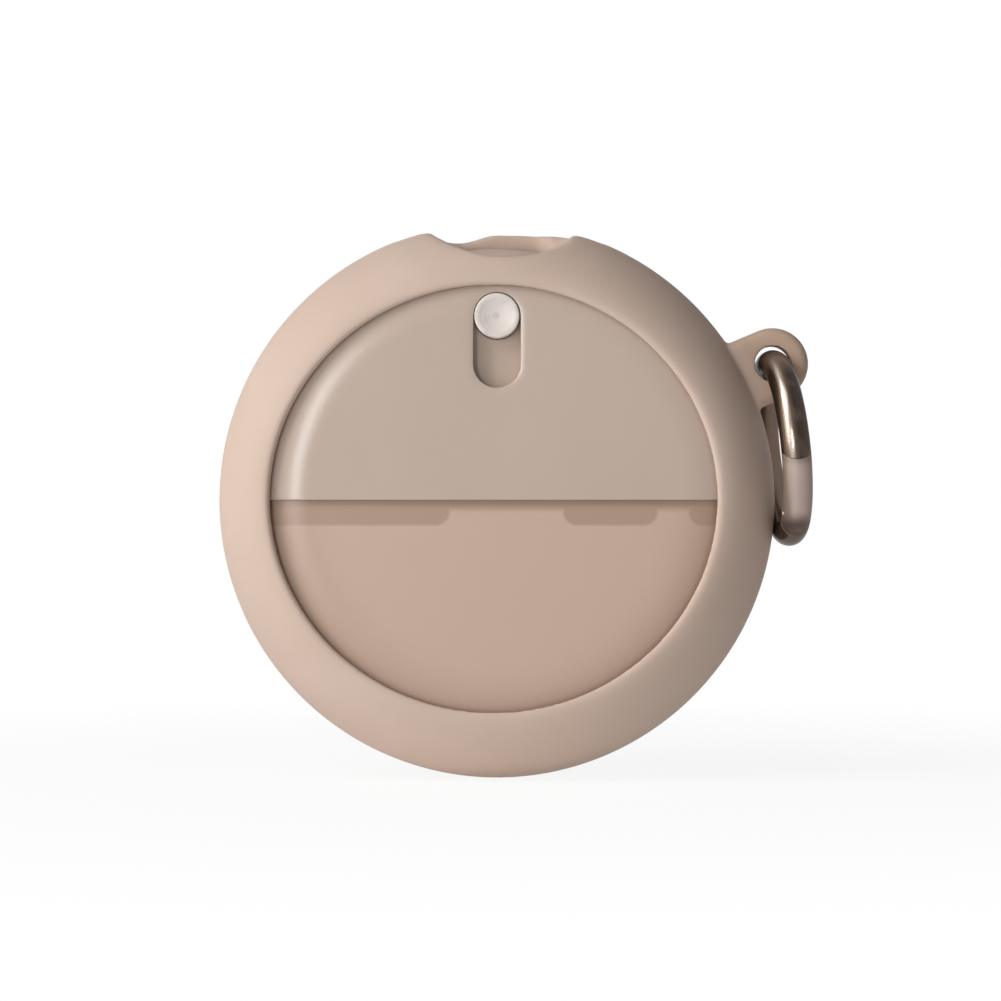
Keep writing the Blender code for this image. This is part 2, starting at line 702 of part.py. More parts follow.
def make_screw(name, x, z, seat):
    """Builds one round-head screw whose head sits behind a seat's depth."""
    head = seat - GAP
    tip = COVER_FACE - SCREW_SKIN - GAP
    profile = [
        (0.0, tip),
        (SCREW_RADIUS, tip - SCREW_RADIUS / 2),
        (SCREW_RADIUS, head),
        (SCREW_HEAD_RADIUS, head),
        (SCREW_HEAD_RADIUS, head - SCREW_HEAD_HEIGHT / 2),
        (SCREW_HEAD_RADIUS * 0.7, head - SCREW_HEAD_HEIGHT),
        (0.0, head - SCREW_HEAD_HEIGHT),
    ]
    mesh = turned(profile, 16)
    mesh.transform(Matrix.Translation((x, 0, z)))
    add_part(name, mesh, STEEL)


def make_detent():
    """Builds the bent leaf across the rails, with its bump towards the gate's web."""
    middle = (LEAF_FRONT + LEAF_BACK) / 2
    end = SCREW_X + LEAF_WIDTH / 2
    top = middle + LEAF_RISE
    half = [(SLIDER_HALF_WIDTH - RAIL_LIP_REACH - GAP, middle), (LEAF_WIDTH / 2, top - GAP)]
    line = [(end, middle)] + half + [(0.0, top)]
    line += [(-x, h) for x, h in line[-2::-1]]
    bm = bmesh.new()
    low, high = LOW_SCREW_Z - LEAF_WIDTH / 2, LOW_SCREW_Z + LEAF_WIDTH / 2
    rows = [[bm.verts.new((x, -h, z)) for x, h in line] for z in (low, high)]
    for i in range(len(line) - 1):
        bm.faces.new((rows[0][i], rows[0][i + 1], rows[1][i + 1], rows[1][i]))
    leaf = add_part("detent_spring", to_mesh(bm), STEEL)
    thick = leaf.modifiers.new("Thickness", "SOLIDIFY")
    thick.thickness = LEAF_THICKNESS
    thick.offset = 0.0
    for x in (-SCREW_X, SCREW_X):
        deep = (LEAF_BACK - LEAF_WIDTH, LIP_FRONT)
        combine(leaf, "DIFFERENCE", rod_through(x, LOW_SCREW_Z, deep, SCREW_RADIUS + GAP, 16))


# Slider: button, plate, gate, seal and screw.


def make_button(pivot):
    """Builds the dished round button with its hollow stem."""
    rim = COVER_FACE + BUTTON_PROUD
    bore = SCREW_RADIUS + GAP
    edge = BUTTON_DISH / 2
    profile = [
        (0.0, rim - BUTTON_DISH),
        (BUTTON_RADIUS * 0.45, rim - BUTTON_DISH * 0.85),
        (BUTTON_RADIUS * 0.75, rim - BUTTON_DISH * 0.35),
        (BUTTON_RADIUS - 2 * edge, rim),
        (BUTTON_RADIUS - edge / 2, rim - edge / 2),
        (BUTTON_RADIUS, rim - 1.5 * edge),
        (BUTTON_RADIUS, BUTTON_BASE),
        (STEM_RADIUS, BUTTON_BASE),
        (STEM_RADIUS, STEM_END),
        (bore, STEM_END),
        (bore, BUTTON_BASE),
        (0.0, BUTTON_BASE),
    ]
    add_part("slide_button", turned(profile, 32), PEARL, pivot)


def make_button_screw(pivot):
    """Builds the screw that clamps button, plate and web together."""
    head = STEM_END - GAP
    radius = STEM_RADIUS + 2 * GAP
    profile = [
        (0.0, BUTTON_BASE - GAP),
        (SCREW_RADIUS, BUTTON_BASE - GAP - SCREW_RADIUS / 2),
        (SCREW_RADIUS, head),
        (radius, head),
        (radius, head - SCREW_HEAD_HEIGHT / 2),
        (radius - SCREW_HEAD_HEIGHT / 2, head - SCREW_HEAD_HEIGHT),
        (0.0, head - SCREW_HEAD_HEIGHT),
    ]
    add_part("button_screw", turned(profile, 20), STEEL, pivot)


def slider_piece(name, mesh, look, pivot):
    """Adds a slider piece built in the case's frame under the slider's pivot."""
    mesh.transform(Matrix.Translation(-pivot.location))
    return add_part(name, mesh, look, pivot)


def make_slide_plate(pivot):
    """Builds the plate that is the slot's floor and travels with the button."""
    top = reach_at(PLATE_FRONT + GAP, SLIDER_HALF_WIDTH)
    bottom = BUTTON_Z - BUTTON_TRAVEL - SLOT_HALF_WIDTH - PLATE_LAP
    wide = (-SLIDER_HALF_WIDTH, SLIDER_HALF_WIDTH)
    mesh = block(wide, (PLATE_BACK, PLATE_FRONT), (bottom, top))
    sliding = slider_piece("slide_plate", mesh, TAUPE, pivot)
    hole = rod_through(0, 0, (LIP_FRONT, COVER_FACE), STEM_RADIUS + GAP)
    combine(sliding, "DIFFERENCE", hole)


def make_gate(pivot):
    """Builds the gate: a plug in the mouth, a flange under it and a web down to the button."""
    wide = MOUTH_HALF_WIDTH + GATE_LAND
    deep = (MOUTH_LOW - GATE_LAND, MOUTH_HIGH + GATE_LAND)
    tall = (GATE_BOTTOM, SLEEVE_RADIUS)
    corner = MOUTH_CORNER + GATE_LAND
    centre = Matrix.Translation(-pivot.location)

    def moved(mesh):
        mesh.transform(centre)
        return mesh

    mesh = block((-wide, wide), deep, tall, corner, 2)
    gate = slider_piece("mouth_gate", mesh, SLIDER_PLASTIC, pivot)
    combine(gate, "INTERSECT", moved(rod((0, 0, 0), (0, -SLEEVE_FRONT, 0), GATE_TOP, 96)))
    plug_wide = MOUTH_HALF_WIDTH - PLUG_CLEARANCE
    plug_deep = (MOUTH_LOW + PLUG_CLEARANCE, MOUTH_HIGH - PLUG_CLEARANCE)
    plug = block((-plug_wide, plug_wide), plug_deep, tall, MOUTH_CORNER - PLUG_CLEARANCE, 2)
    plug = add_tool(moved(plug), "gate_plug", pivot)
    combine(plug, "INTERSECT", moved(rod((0, 0, 0), (0, -SLEEVE_FRONT, 0), SHELL_RADIUS, 96)))
    combine(gate, "UNION", plug)
    web_top = reach_at(WEB_FRONT + GAP, SLIDER_HALF_WIDTH) - GAP
    web_bottom = LOW_SCREW_Z - LEAF_WIDTH
    half = SLIDER_HALF_WIDTH
    web = block((-half, half), (WEB_BACK, WEB_FRONT), (web_bottom, web_top))
    narrow = SLIDER_HALF_WIDTH - RAIL_LIP_REACH - BLOCK_CLEARANCE
    joint = (MOUTH_HIGH, (WEB_BACK + WEB_FRONT) / 2)
    neck = block((-narrow, narrow), joint, (GATE_BOTTOM, GATE_BOTTOM + GATE_DEPTH / 2))
    combine(gate, "UNION", moved(neck), moved(web))
    hole = rod_through(0, 0, (LIP_BACK, PLATE_FRONT), STEM_RADIUS + GAP)
    combine(gate, "DIFFERENCE", hole)
    for z in (LOW_SCREW_Z, LOW_SCREW_Z + BUTTON_TRAVEL):
        start = (-LEAF_WIDTH, -WEB_BACK, z)
        end = (LEAF_WIDTH, -WEB_BACK, z)
        combine(gate, "DIFFERENCE", moved(rod(start, end, GROOVE_RADIUS, 12)))


def make_gate_seal(pivot):
    """Builds the curved gasket on the gate's flange, round the plug."""
    inner = GATE_TOP + GAP
    section = [
        (GATE_SEAL_TOP, SLEEVE_FRONT),
        (GATE_SEAL_TOP, 0.0),
        (inner, 0.0),
        (inner, SLEEVE_FRONT),
    ]
    seal = slider_piece("gate_seal", turned(section, 144, closed=True), SEAL_RUBBER, pivot)
    wide = MOUTH_HALF_WIDTH + GATE_LAND
    deep = (MOUTH_LOW - GATE_LAND, MOUTH_HIGH + GATE_LAND)
    tall = (SHELL_INSIDE / 2, SLEEVE_RADIUS)
    rim = block((-wide, wide), deep, tall, MOUTH_CORNER + GATE_LAND, 2)
    rim.transform(Matrix.Translation(-pivot.location))
    hole_wide = MOUTH_HALF_WIDTH - PLUG_CLEARANCE + GAP
    hole_deep = (MOUTH_LOW + PLUG_CLEARANCE - GAP, MOUTH_HIGH - PLUG_CLEARANCE + GAP)
    hole = block((-hole_wide, hole_wide), hole_deep, tall, MOUTH_CORNER - GAP, 2)
    hole.transform(Matrix.Translation(-pivot.location))
    combine(seal, "INTERSECT", rim)
    combine(seal, "DIFFERENCE", hole)


# Carry ring. It is built hanging straight down from its pivot, in the Y-Z plane, and angles on
# it go from its top through its front. Its gate's hinge has its own flat frame in that plane,
# with s out from the ring's centre and t along the wire, away from the gate.


def ring_pivot_place():
    """Returns where the ring's wire hangs in the lug's hole."""
    eye = polar(LUG_RADIUS, LUG_ANGLE)
    half = LUG_THICKNESS / 2
    sag = RING_RADIUS - math.sqrt(RING_RADIUS**2 - half**2)
    drop = LUG_HOLE_RADIUS - RING_WIRE_RADIUS - GAP - sag
    return Vector((eye.x, -LUG_H, eye.y - drop))


def ring_rest_swing():
    """Returns how far the ring leans out, in radians, to rest against the sleeve."""
    place = ring_pivot_place()
    length = 2 * RING_RADIUS
    reach = SLEEVE_RADIUS + RING_WIRE_RADIUS + GAP
    out = math.hypot(place.x, place.z)
    share = (reach**2 - out**2 - length**2) / (2 * length * out)
    return math.atan2(place.z, place.x) + math.asin(share)


def ring_point(angle, radius=RING_RADIUS):
    """Returns a point of the ring's plane at an angle in degrees from its top."""
    turn = math.radians(angle)
    return Vector((0.0, -radius * math.sin(turn), radius * math.cos(turn) - RING_RADIUS))


def ring_arc(start, end):
    """Returns points along the wire's middle between two angles."""
    count = max(2, math.ceil((end - start) / RING_STEP) + 1)
    return [ring_point(start + (end - start) * i / (count - 1)) for i in range(count)]


def ring_wire(start, end, radius=RING_WIRE_RADIUS):
    """Returns a stretch of the ring's round wire."""
    return wire(ring_arc(start, end), radius, RING_SIDES)


def ring_sector(inner, outer, start, end):
    """Returns a cutter that takes a stretch of the ring between two radii."""
    turns = [start + (end - start) * i / 8 for i in range(9)]
    outline = [ring_point(t, outer) for t in turns] + [ring_point(t, inner) for t in turns[::-1]]
    flat = [(point.y, point.z) for point in outline]
    return plate(flat, -2 * RING_WIRE_RADIUS, 2 * RING_WIRE_RADIUS, FACING_SIDE)


def at_hinge(outline, half):
    """Returns an outline of (s, t) points at the gate's hinge as a plate of half thickness."""
    pin = ring_point(GATE_PIN_ANGLE)
    turn = math.radians(GATE_PIN_ANGLE)
    out = Vector((-math.sin(turn), math.cos(turn)))
    along = Vector((-math.cos(turn), -math.sin(turn)))
    places = [out * s + along * t for s, t in outline]
    flat = [(pin.y + place.x, pin.z + place.y) for place in places]
    return plate(flat, -half, half, FACING_SIDE)


def knuckle_line(radius):
    """Returns the end of a knuckle round the pin, from its slanted outside to its inside."""
    lean = math.radians(GATE_SEAM_ANGLE - GATE_PIN_ANGLE)
    outer = RING_RADIUS + RING_WIRE_RADIUS
    seam = Vector((outer * math.cos(lean) - RING_RADIUS, outer * math.sin(lean)))
    touch = tangent_point(Vector((0, 0)), RING_WIRE_RADIUS, seam, 1)
    normal = polar(1.0, touch)
    past = seam + (seam - normal * RING_WIRE_RADIUS) / 2
    past += normal * (radius - RING_WIRE_RADIUS)
    return [tuple(past)] + arc((0, 0), radius, touch, 180, 9)


def hinge_rod(half, radius, sides=24):
    """Returns a cylinder on the gate's pin, square to the ring's plane."""
    pin = ring_point(GATE_PIN_ANGLE)
    return rod((-half, pin.y, pin.z), (half, pin.y, pin.z), radius, sides)


def gate_reach():
    """Returns how far from its pin the outside of the gate's tip is."""
    tip = ring_point(GATE_TIP_ANGLE, RING_RADIUS + RING_WIRE_RADIUS)
    return (tip - ring_point(GATE_PIN_ANGLE)).length


def tip_cutter(inner, outer, reach, operation, hinge, pivot):
    """Returns a cutter for a lapped half of the tip, ended by an arc about the gate's pin."""
    far = 3 * RING_WIRE_RADIUS
    sector_mesh = ring_sector(inner, outer, GATE_TIP_ANGLE - 4 * RING_STEP, GATE_PIN_ANGLE)
    arc_mesh = hinge_rod(far, reach, 72)
    if hinge:
        on_hinge(sector_mesh, hinge)
        on_hinge(arc_mesh, hinge)
    return combine(add_tool(sector_mesh, "tip", hinge or pivot), operation, arc_mesh)


def make_ring_body(pivot):
    """Builds the bent wire with its tongue for the gate's pin and its lapped nose."""
    body_wire = ring_wire(GATE_PIN_ANGLE, 360 + GATE_TIP_ANGLE + RING_STEP)
    body = add_part("ring_body", body_wire, NICKEL, pivot)
    far = 3 * RING_WIRE_RADIUS
    socket = knuckle_line(RING_WIRE_RADIUS + GAP)
    socket += [(-far, 0.0), (-far, -far / 3), (socket[0][0], -far / 3)]
    reach = gate_reach() + GAP
    inner, outer = RING_RADIUS - far, RING_RADIUS + far
    whole = tip_cutter(inner, outer, reach, "INTERSECT", None, pivot)
    inside = tip_cutter(
        inner, RING_RADIUS + GAP / 2, reach + NOSE_LAP, "INTERSECT", None, pivot
    )
    combine(body, "DIFFERENCE", at_hinge(socket, far), whole, inside)
    neck = [(TONGUE_RADIUS, far), (-TONGUE_RADIUS, far)]
    outline = arc((0, 0), TONGUE_RADIUS, 180, 360, 13) + neck
    tongue = add_tool(at_hinge(outline, TONGUE_THICKNESS / 2), "ring_tongue", pivot)
    core = ring_wire(
        GATE_PIN_ANGLE - RING_STEP, GATE_PIN_ANGLE + 4 * RING_STEP, RING_WIRE_RADIUS - GAP
    )
    combine(tongue, "INTERSECT", core)
    combine(body, "UNION", tongue)
    combine(body, "DIFFERENCE", hinge_rod(far, PIN_RADIUS + PIN_CLEARANCE))


def make_ring_gate(hinge):
    """Builds the sprung gate, whose knuckle hides the tongue and whose tip laps the nose."""
    start, end = GATE_TIP_ANGLE - 2 * RING_STEP, GATE_SEAM_ANGLE + RING_STEP
    gate = add_part("ring_gate", on_hinge(ring_wire(start, end), hinge), BRIGHT, hinge)
    far = 3 * RING_WIRE_RADIUS
    line = knuckle_line(RING_WIRE_RADIUS)
    beyond = line + [(-far, 0.0), (-far, far), (line[0][0], far)]
    reach = gate_reach()
    inner, outer = RING_RADIUS - far, RING_RADIUS + far
    outside = tip_cutter(RING_RADIUS - GAP / 2, outer, reach, "DIFFERENCE", hinge, None)
    whole = tip_cutter(inner, outer, reach + NOSE_LAP, "DIFFERENCE", hinge, None)
    radius = TONGUE_RADIUS + GAP
    slot = arc((0, 0), radius, 180, 360, 13) + [(radius, far), (-far, far), (-far, 0.0)]
    bore_start, bore_end = spring_line(GAP)
    cuts = [
        at_hinge(beyond, far),
        at_hinge(slot, TONGUE_THICKNESS / 2 + GAP),
        hinge_rod(far, PIN_RADIUS + PIN_CLEARANCE),
        rod(bore_start, bore_end, SPRING_RADIUS + SPRING_WIRE + GAP, 16),
    ]
    combine(gate, "DIFFERENCE", outside, whole, *[on_hinge(mesh, hinge) for mesh in cuts])


def on_hinge(mesh, hinge):
    """Moves a mesh that was built about the ring's pivot to sit under the gate's hinge."""
    mesh.transform(Matrix.Translation(-hinge.location))
    return mesh


def spring_line(more):
    """Returns the ends of the spring's line in the gate, lengthened past each end."""
    pin = ring_point(GATE_PIN_ANGLE)
    along = (ring_point(GATE_PIN_ANGLE - 2 * RING_STEP) - pin).normalized()
    start = pin + along * (TONGUE_RADIUS + GAP)
    return start - along * more, start + along * (SPRING_LENGTH + more)


def make_gate_pin(pivot):
    """Builds the hinge pin through knuckle and tongue."""
    half = math.sqrt(RING_WIRE_RADIUS**2 - PIN_RADIUS**2) - GAP
    add_part("gate_pin", hinge_rod(half, PIN_RADIUS), STEEL, pivot)


def make_gate_spring(hinge):
    """Builds the small coil in the gate's bore, which bears on the body's tongue."""
    start, end = spring_line(-SPRING_WIRE)
    across = Vector((1, 0, 0))
    third = (end - start).normalized().cross(across)
    points = []
    for i in range(SPRING_TURNS * 10 + 1):
        turn = 2 * math.pi * i / 10
        swing = across * math.cos(turn) + third * math.sin(turn)
        points.append(start + (end - start) * (i / (SPRING_TURNS * 10)) + swing * SPRING_RADIUS)
    mesh = on_hinge(wire(points, SPRING_WIRE, 1), hinge)
    add_part("gate_spring", mesh, STEEL, hinge)


def make_pivots():
    """Adds the empties on the joints' axes and returns them."""
    slider = bpy.data.objects.new("slider_pivot", None)
    slider.location = (0, 0, BUTTON_Z)
    ring = bpy.data.objects.new("ring_pivot", None)
    ring.location = ring_pivot_place()
    swing = Matrix.Rotation(-ring_rest_swing(), 4, "Y")
    yaw = Matrix.Rotation(math.radians(RING_YAW), 4, "Z")
    ring.rotation_euler = (swing @ yaw).to_euler()
    hinge = bpy.data.objects.new("ring_gate_pivot", None)
    hinge.parent = ring
    hinge.location = ring_point(GATE_PIN_ANGLE)
    for empty in (slider, ring, hinge):
        PARTS.objects.link(empty)
    bpy.context.view_layer.update()
    return slider, ring, hinge


clear_scene()
PARTS = new_collection("round_treat_case")
TOOLS = new_collection("round_treat_case_cutters")

RUBBER = finish("sleeve_rubber", (0.56, 0.43, 0.35), 0.6)
TAUPE = finish("shell_taupe", (0.50, 0.40, 0.33), 0.45)
CLEAR = finish("window_clear", (0.80, 0.66, 0.58), 0.12, transmission=0.8)
SLIDER_PLASTIC = finish("slider_plastic", (0.47, 0.38, 0.32), 0.4)
SEAL_RUBBER = finish("seal_rubber", (0.30, 0.25, 0.22), 0.7)
PEARL = finish("button_pearl", (0.80, 0.74, 0.70), 0.25)
STEEL = finish("spring_steel", (0.62, 0.62, 0.63), 0.3, metallic=1.0)
NICKEL = finish("ring_nickel", (0.30, 0.26, 0.23), 0.2, metallic=1.0)
BRIGHT = finish("ring_gate_nickel", (0.45, 0.40, 0.37), 0.3, metallic=1.0)

make_sleeve()
make_cover()
make_window()
make_rear_shell()
make_shell_seal()
make_rail("guide_rail_left", -1)
make_rail("guide_rail_right", 1)
make_detent()
for number, (screw_x, screw_z) in enumerate(screw_places(), start=1):
    seat = LEAF_BACK if screw_z == LOW_SCREW_Z else LIP_BACK
    make_screw(f"rail_screw_{number}", screw_x, screw_z, seat)
SLIDER_PIVOT, RING_PIVOT, GATE_PIVOT = make_pivots()
make_button(SLIDER_PIVOT)
make_button_screw(SLIDER_PIVOT)
make_slide_plate(SLIDER_PIVOT)
make_gate(SLIDER_PIVOT)
make_gate_seal(SLIDER_PIVOT)
make_ring_body(RING_PIVOT)
make_gate_pin(RING_PIVOT)
make_ring_gate(GATE_PIVOT)
make_gate_spring(GATE_PIVOT)
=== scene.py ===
"""Dresses the round treat case: its soft sleeve, two-part shell, slide gate and carry ring.

The case stands upright and faces -Y, with +X to the right and +Z up. The origin is the centre
of its back face. A depth is written as h, the distance in front of that face.
"""

import json
import logging
import math
from abc import ABC, abstractmethod
from collections.abc import Iterable, Mapping, Sequence
from dataclasses import dataclass, field
from enum import Enum
from typing import Union

import bmesh
import bpy
from mathutils import Matrix, Vector

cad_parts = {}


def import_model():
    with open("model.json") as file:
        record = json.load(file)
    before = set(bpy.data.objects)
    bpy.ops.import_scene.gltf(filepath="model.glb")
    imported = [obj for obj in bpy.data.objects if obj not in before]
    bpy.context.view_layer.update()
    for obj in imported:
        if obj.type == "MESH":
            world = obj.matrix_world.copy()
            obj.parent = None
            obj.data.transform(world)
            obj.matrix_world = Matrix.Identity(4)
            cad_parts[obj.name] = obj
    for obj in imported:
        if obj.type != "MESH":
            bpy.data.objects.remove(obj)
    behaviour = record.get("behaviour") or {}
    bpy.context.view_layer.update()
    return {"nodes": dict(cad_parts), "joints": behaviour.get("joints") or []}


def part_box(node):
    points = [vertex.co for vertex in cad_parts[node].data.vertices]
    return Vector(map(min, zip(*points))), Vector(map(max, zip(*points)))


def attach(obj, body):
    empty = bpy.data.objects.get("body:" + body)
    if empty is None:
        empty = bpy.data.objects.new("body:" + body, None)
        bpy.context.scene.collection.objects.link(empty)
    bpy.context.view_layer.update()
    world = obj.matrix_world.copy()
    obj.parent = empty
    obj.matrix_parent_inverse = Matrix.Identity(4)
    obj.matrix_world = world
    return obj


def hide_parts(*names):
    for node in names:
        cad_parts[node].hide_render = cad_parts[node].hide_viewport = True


log = logging.getLogger("treat_case")

Colour = tuple[float, float, float]
Outline = list[tuple[float, float]]


def paint(red: int, green: int, blue: int) -> Colour:
    """Turns a colour as painters mix it, 0 to 255, into linear light.

    Args:
        red: Red, 0 to 255.
        green: Green, 0 to 255.
        blue: Blue, 0 to 255.

    Returns:
        The colour in linear light, 0 to 1.
    """
    shares = (channel / 255 for channel in (red, green, blue))
    return tuple(s / 12.92 if s <= 0.04045 else ((s + 0.055) / 1.055) ** 2.4 for s in shares)


# Shader building.


class Value:
    """A number that varies over a surface. Python's operators on it add Math nodes."""

    def __init__(self, tree: "Tree", socket: bpy.types.NodeSocket) -> None:
        """Wraps an output socket of a node tree."""
        self.tree = tree
        self.socket = socket

    def math(self, operation: str, *terms: "Term") -> "Value":
        """Adds one Math node.

        Args:
            operation: The node's operation.
            terms: Its inputs in order.

        Returns:
            The node's output.
        """
        made = self.tree.node(
            "ShaderNodeMath", {"operation": operation}, dict(enumerate(terms))
        )
        return Value(self.tree, made.outputs[0])

    def __add__(self, other: "Term") -> "Value":
        """Adds."""
        return self.math("ADD", self, other)

    def __radd__(self, other: "Term") -> "Value":
        """Adds to a term on the left."""
        return self.math("ADD", other, self)

    def __sub__(self, other: "Term") -> "Value":
        """Subtracts."""
        return self.math("SUBTRACT", self, other)

    def __rsub__(self, other: "Term") -> "Value":
        """Subtracts from a term on the left."""
        return self.math("SUBTRACT", other, self)

    def __mul__(self, other: "Term") -> "Value":
        """Multiplies."""
        return self.math("MULTIPLY", self, other)

    def __rmul__(self, other: "Term") -> "Value":
        """Multiplies a term on the left."""
        return self.math("MULTIPLY", other, self)

    def __truediv__(self, other: "Term") -> "Value":
        """Divides."""
        return self.math("DIVIDE", self, other)

    def __pow__(self, other: "Term") -> "Value":
        """Raises to a power."""
        return self.math("POWER", self, other)

    def at_most(self, other: "Term") -> "Value":
        """Returns the smaller of the two."""
        return self.math("MINIMUM", self, other)

    def at_least(self, other: "Term") -> "Value":
        """Returns the greater of the two."""
        return self.math("MAXIMUM", self, other)

    def size(self) -> "Value":
        """Returns the number without its sign."""
        return self.math("ABSOLUTE", self)

    def wave(self) -> "Value":
        """Returns its sine."""
        return self.math("SINE", self)

    def step(self, low: float, high: float) -> "Value":
        """Rises smoothly from 0 to 1.

        Args:
            low: Where it is still 0.
            high: Where it reaches 1.

        Returns:
            The smooth step.
        """
        made = self.tree.node(
            "ShaderNodeMapRange",
            {"interpolation_type": "SMOOTHSTEP"},
            {0: self, 1: low, 2: high, 3: 0.0, 4: 1.0},
        )
        return Value(self.tree, made.outputs[0])


Term = Union[Value, float, int]
Feed = Union[Value, bpy.types.NodeSocket, float, int, Sequence[float]]


class Tree:
    """A node tree in the making."""

    def __init__(self, tree: bpy.types.NodeTree) -> None:
        """Keeps the node tree."""
        self.tree = tree

    def feed(self, socket: bpy.types.NodeSocket, term: Feed) -> None:
        """Links a socket, or sets it where the term is a plain number or colour.

        Args:
            socket: The input.
            term: What feeds it.
        """
        if isinstance(term, Value):
            term = term.socket
        if isinstance(term, bpy.types.NodeSocket):
            self.tree.links.new(term, socket)
        elif socket.type == "RGBA" and len(term) == 3:
            socket.default_value = (*term, 1.0)
        else:
            socket.default_value = term

    def node(
        self,
        kind: str,
        settings: Mapping[str, object],
        inputs: Mapping[Union[int, str], Feed],
    ) -> bpy.types.Node:
        """Adds one node.

        Args:
            kind: The node's type.
            settings: Its properties, set first. A ramp's are its "stops".
            inputs: What feeds its sockets, by name or number.

        Returns:
            The node.
        """
        made = self.tree.nodes.new(kind)
        for key, setting in settings.items():
            if key == "stops":
                self.set_stops(made.color_ramp, setting)
            else:
                setattr(made, key, setting)
        for key, term in inputs.items():
            self.feed(made.inputs[key], term)
        return made

    @staticmethod
    def set_stops(ramp: bpy.types.ColorRamp, stops: Sequence[tuple[float, Colour]]) -> None:
        """Gives a colour ramp its stops.

        Args:
            ramp: The ramp.
            stops: Place and colour of each stop, in rising order.
        """
        while len(ramp.elements) < len(stops):
            ramp.elements.new(1.0)
        for element, (place, colour) in zip(ramp.elements, stops):
            element.position = place
            element.color = (*colour, 1.0)

    def white_to_sight(self, dim: bpy.types.NodeSocket, share: Term = 1.0) -> None:
        """Makes the output white to the camera, in mirrors and through glass.

        Args:
            dim: The shader that all other rays meet.
            share: How much of the white shows there. The rest keeps the shadows.
        """
        rays = self.node("ShaderNodeLightPath", {}, {})
        sight, mirror, glass = (
            Value(self, rays.outputs[f"Is {kind} Ray"])
            for kind in ("Camera", "Glossy", "Transmission")
        )
        white = self.node("ShaderNodeEmission", {}, {"Strength": 1.0})
        mixed = self.node(
            "ShaderNodeMixShader",
            {},
            {0: sight.at_least(mirror).at_least(glass) * share, 1: dim, 2: white.outputs[0]},
        )
        end = next(node for node in self.tree.nodes if node.type.startswith("OUTPUT"))
        self.feed(end.inputs["Surface"], mixed.outputs[0])


class Look(Tree):
    """A material in the making: one Principled shader and the nodes that feed it."""

    def __init__(self, name: str) -> None:
        """Starts a material with its Principled shader.

        Args:
            name: The material's name.
        """
        self.material = bpy.data.materials.new(name)
        self.material.use_nodes = True
        super().__init__(self.material.node_tree)
        self.shader = self.tree.nodes["Principled BSDF"]

    def place(self) -> bpy.types.NodeSocket:
        """Returns the point on the piece, in metres."""
        return self.node("ShaderNodeTexCoord", {}, {}).outputs["Object"]

    def axes(self) -> tuple[Value, Value, Value]:
        """Returns the point's three coordinates."""
        split = self.node("ShaderNodeSeparateXYZ", {}, {0: self.place()})
        return tuple(Value(self, socket) for socket in split.outputs)

    def vector(self, operation: str, first: Feed, second: Feed) -> bpy.types.Node:
        """Adds a Vector Math node."""
        return self.node("ShaderNodeVectorMath", {"operation": operation}, {0: first, 1: second})

    def noise(self, scale: float, detail: float = 2.0, stretch: Colour = (1, 1, 1)) -> Value:
        """Adds smooth noise over the piece.

        Args:
            scale: Cells in a metre.
            detail: Finer layers.
            stretch: How much denser it is along each axis.

        Returns:
            The noise, 0 to 1.
        """
        point = self.vector("MULTIPLY", self.place(), stretch).outputs[0]
        made = self.node(
            "ShaderNodeTexNoise", {}, {"Vector": point, "Scale": scale, "Detail": detail}
        )
        return Value(self, made.outputs["Fac"])

    def mix(self, factor: Term, first: Feed, second: Feed) -> bpy.types.NodeSocket:
        """Mixes two colours.

        Args:
            factor: Share of the second.
            first: A colour.
            second: A colour.

        Returns:
            The mixed colour.
        """
        made = self.node("ShaderNodeMix", {"data_type": "RGBA"}, {0: factor, 6: first, 7: second})
        return made.outputs[2]

    def bump(self, height: Value, depth: float, strength: float = 1.0) -> None:
        """Presses a height into the surface's shading.

        Args:
            height: The height, 0 to 1.
            depth: Metres between 0 and 1.
            strength: Share of its effect.
        """
        made = self.node(
            "ShaderNodeBump", {}, {"Strength": strength, "Distance": depth, "Height": height}
        )
        self.feed(self.shader.inputs["Normal"], made.outputs["Normal"])

    def finish(self, **sockets: Feed) -> bpy.types.Material:
        """Feeds the shader and returns the material.

        Args:
            sockets: What feeds each socket of the shader, with _ for spaces.

        Returns:
            The material.
        """
        for key, term in sockets.items():
            self.feed(self.shader.inputs[key.replace("_", " ")], term)
        return self.material


# Finishes.


class Finish(ABC):
    """What a piece's surface is made of."""

    @abstractmethod
    def make(self) -> bpy.types.Material:
        """Builds the material.

        Returns:
            The finished material.
        """


@dataclass(frozen=True)
class SoftRubber(Finish):
    """Matt silicone with a fine bloom, paler where it is handled, with painted shade darkening the
    lug and the band's outer rim.
    """

    name: str
    colour: Colour
    handled: Colour
    roughness: float
    grain: float = 2600.0
    depth: float = 0.00002
    shine: float = 0.12
    # Painted shade colour for the lug and the band's outer rim.
    outer_shade: Colour = paint(181, 152, 130)
    reach: tuple[float, float] = (0.0475, 0.051)

    def make(self) -> bpy.types.Material:
        """Builds the material.

        Returns:
            The finished material.
        """
        look = Look(self.name)
        cloud = look.noise(38.0, 3.0)
        fine = look.noise(self.grain, 2.0)
        smear = look.noise(160.0, 4.0, (1.0, 0.35, 1.0))
        look.bump(fine * 0.6 + smear * 0.4, self.depth, 0.5)
        x, _, z = look.axes()
        # Painted shade: past this radius, over the lug and the outer rim, the colour darkens
        # towards the painted shade colour.
        out = ((x * x + z * z) ** 0.5).step(*self.reach)
        bloom = look.mix(cloud.step(0.35, 0.75), self.colour, self.handled)
        return look.finish(
            Base_Color=look.mix(out * 0.7, bloom, self.outer_shade),
            Roughness=self.roughness + 0.14 * (smear - 0.5) + 0.06 * (fine - 0.5),
            Specular_IOR_Level=self.shine,
        )


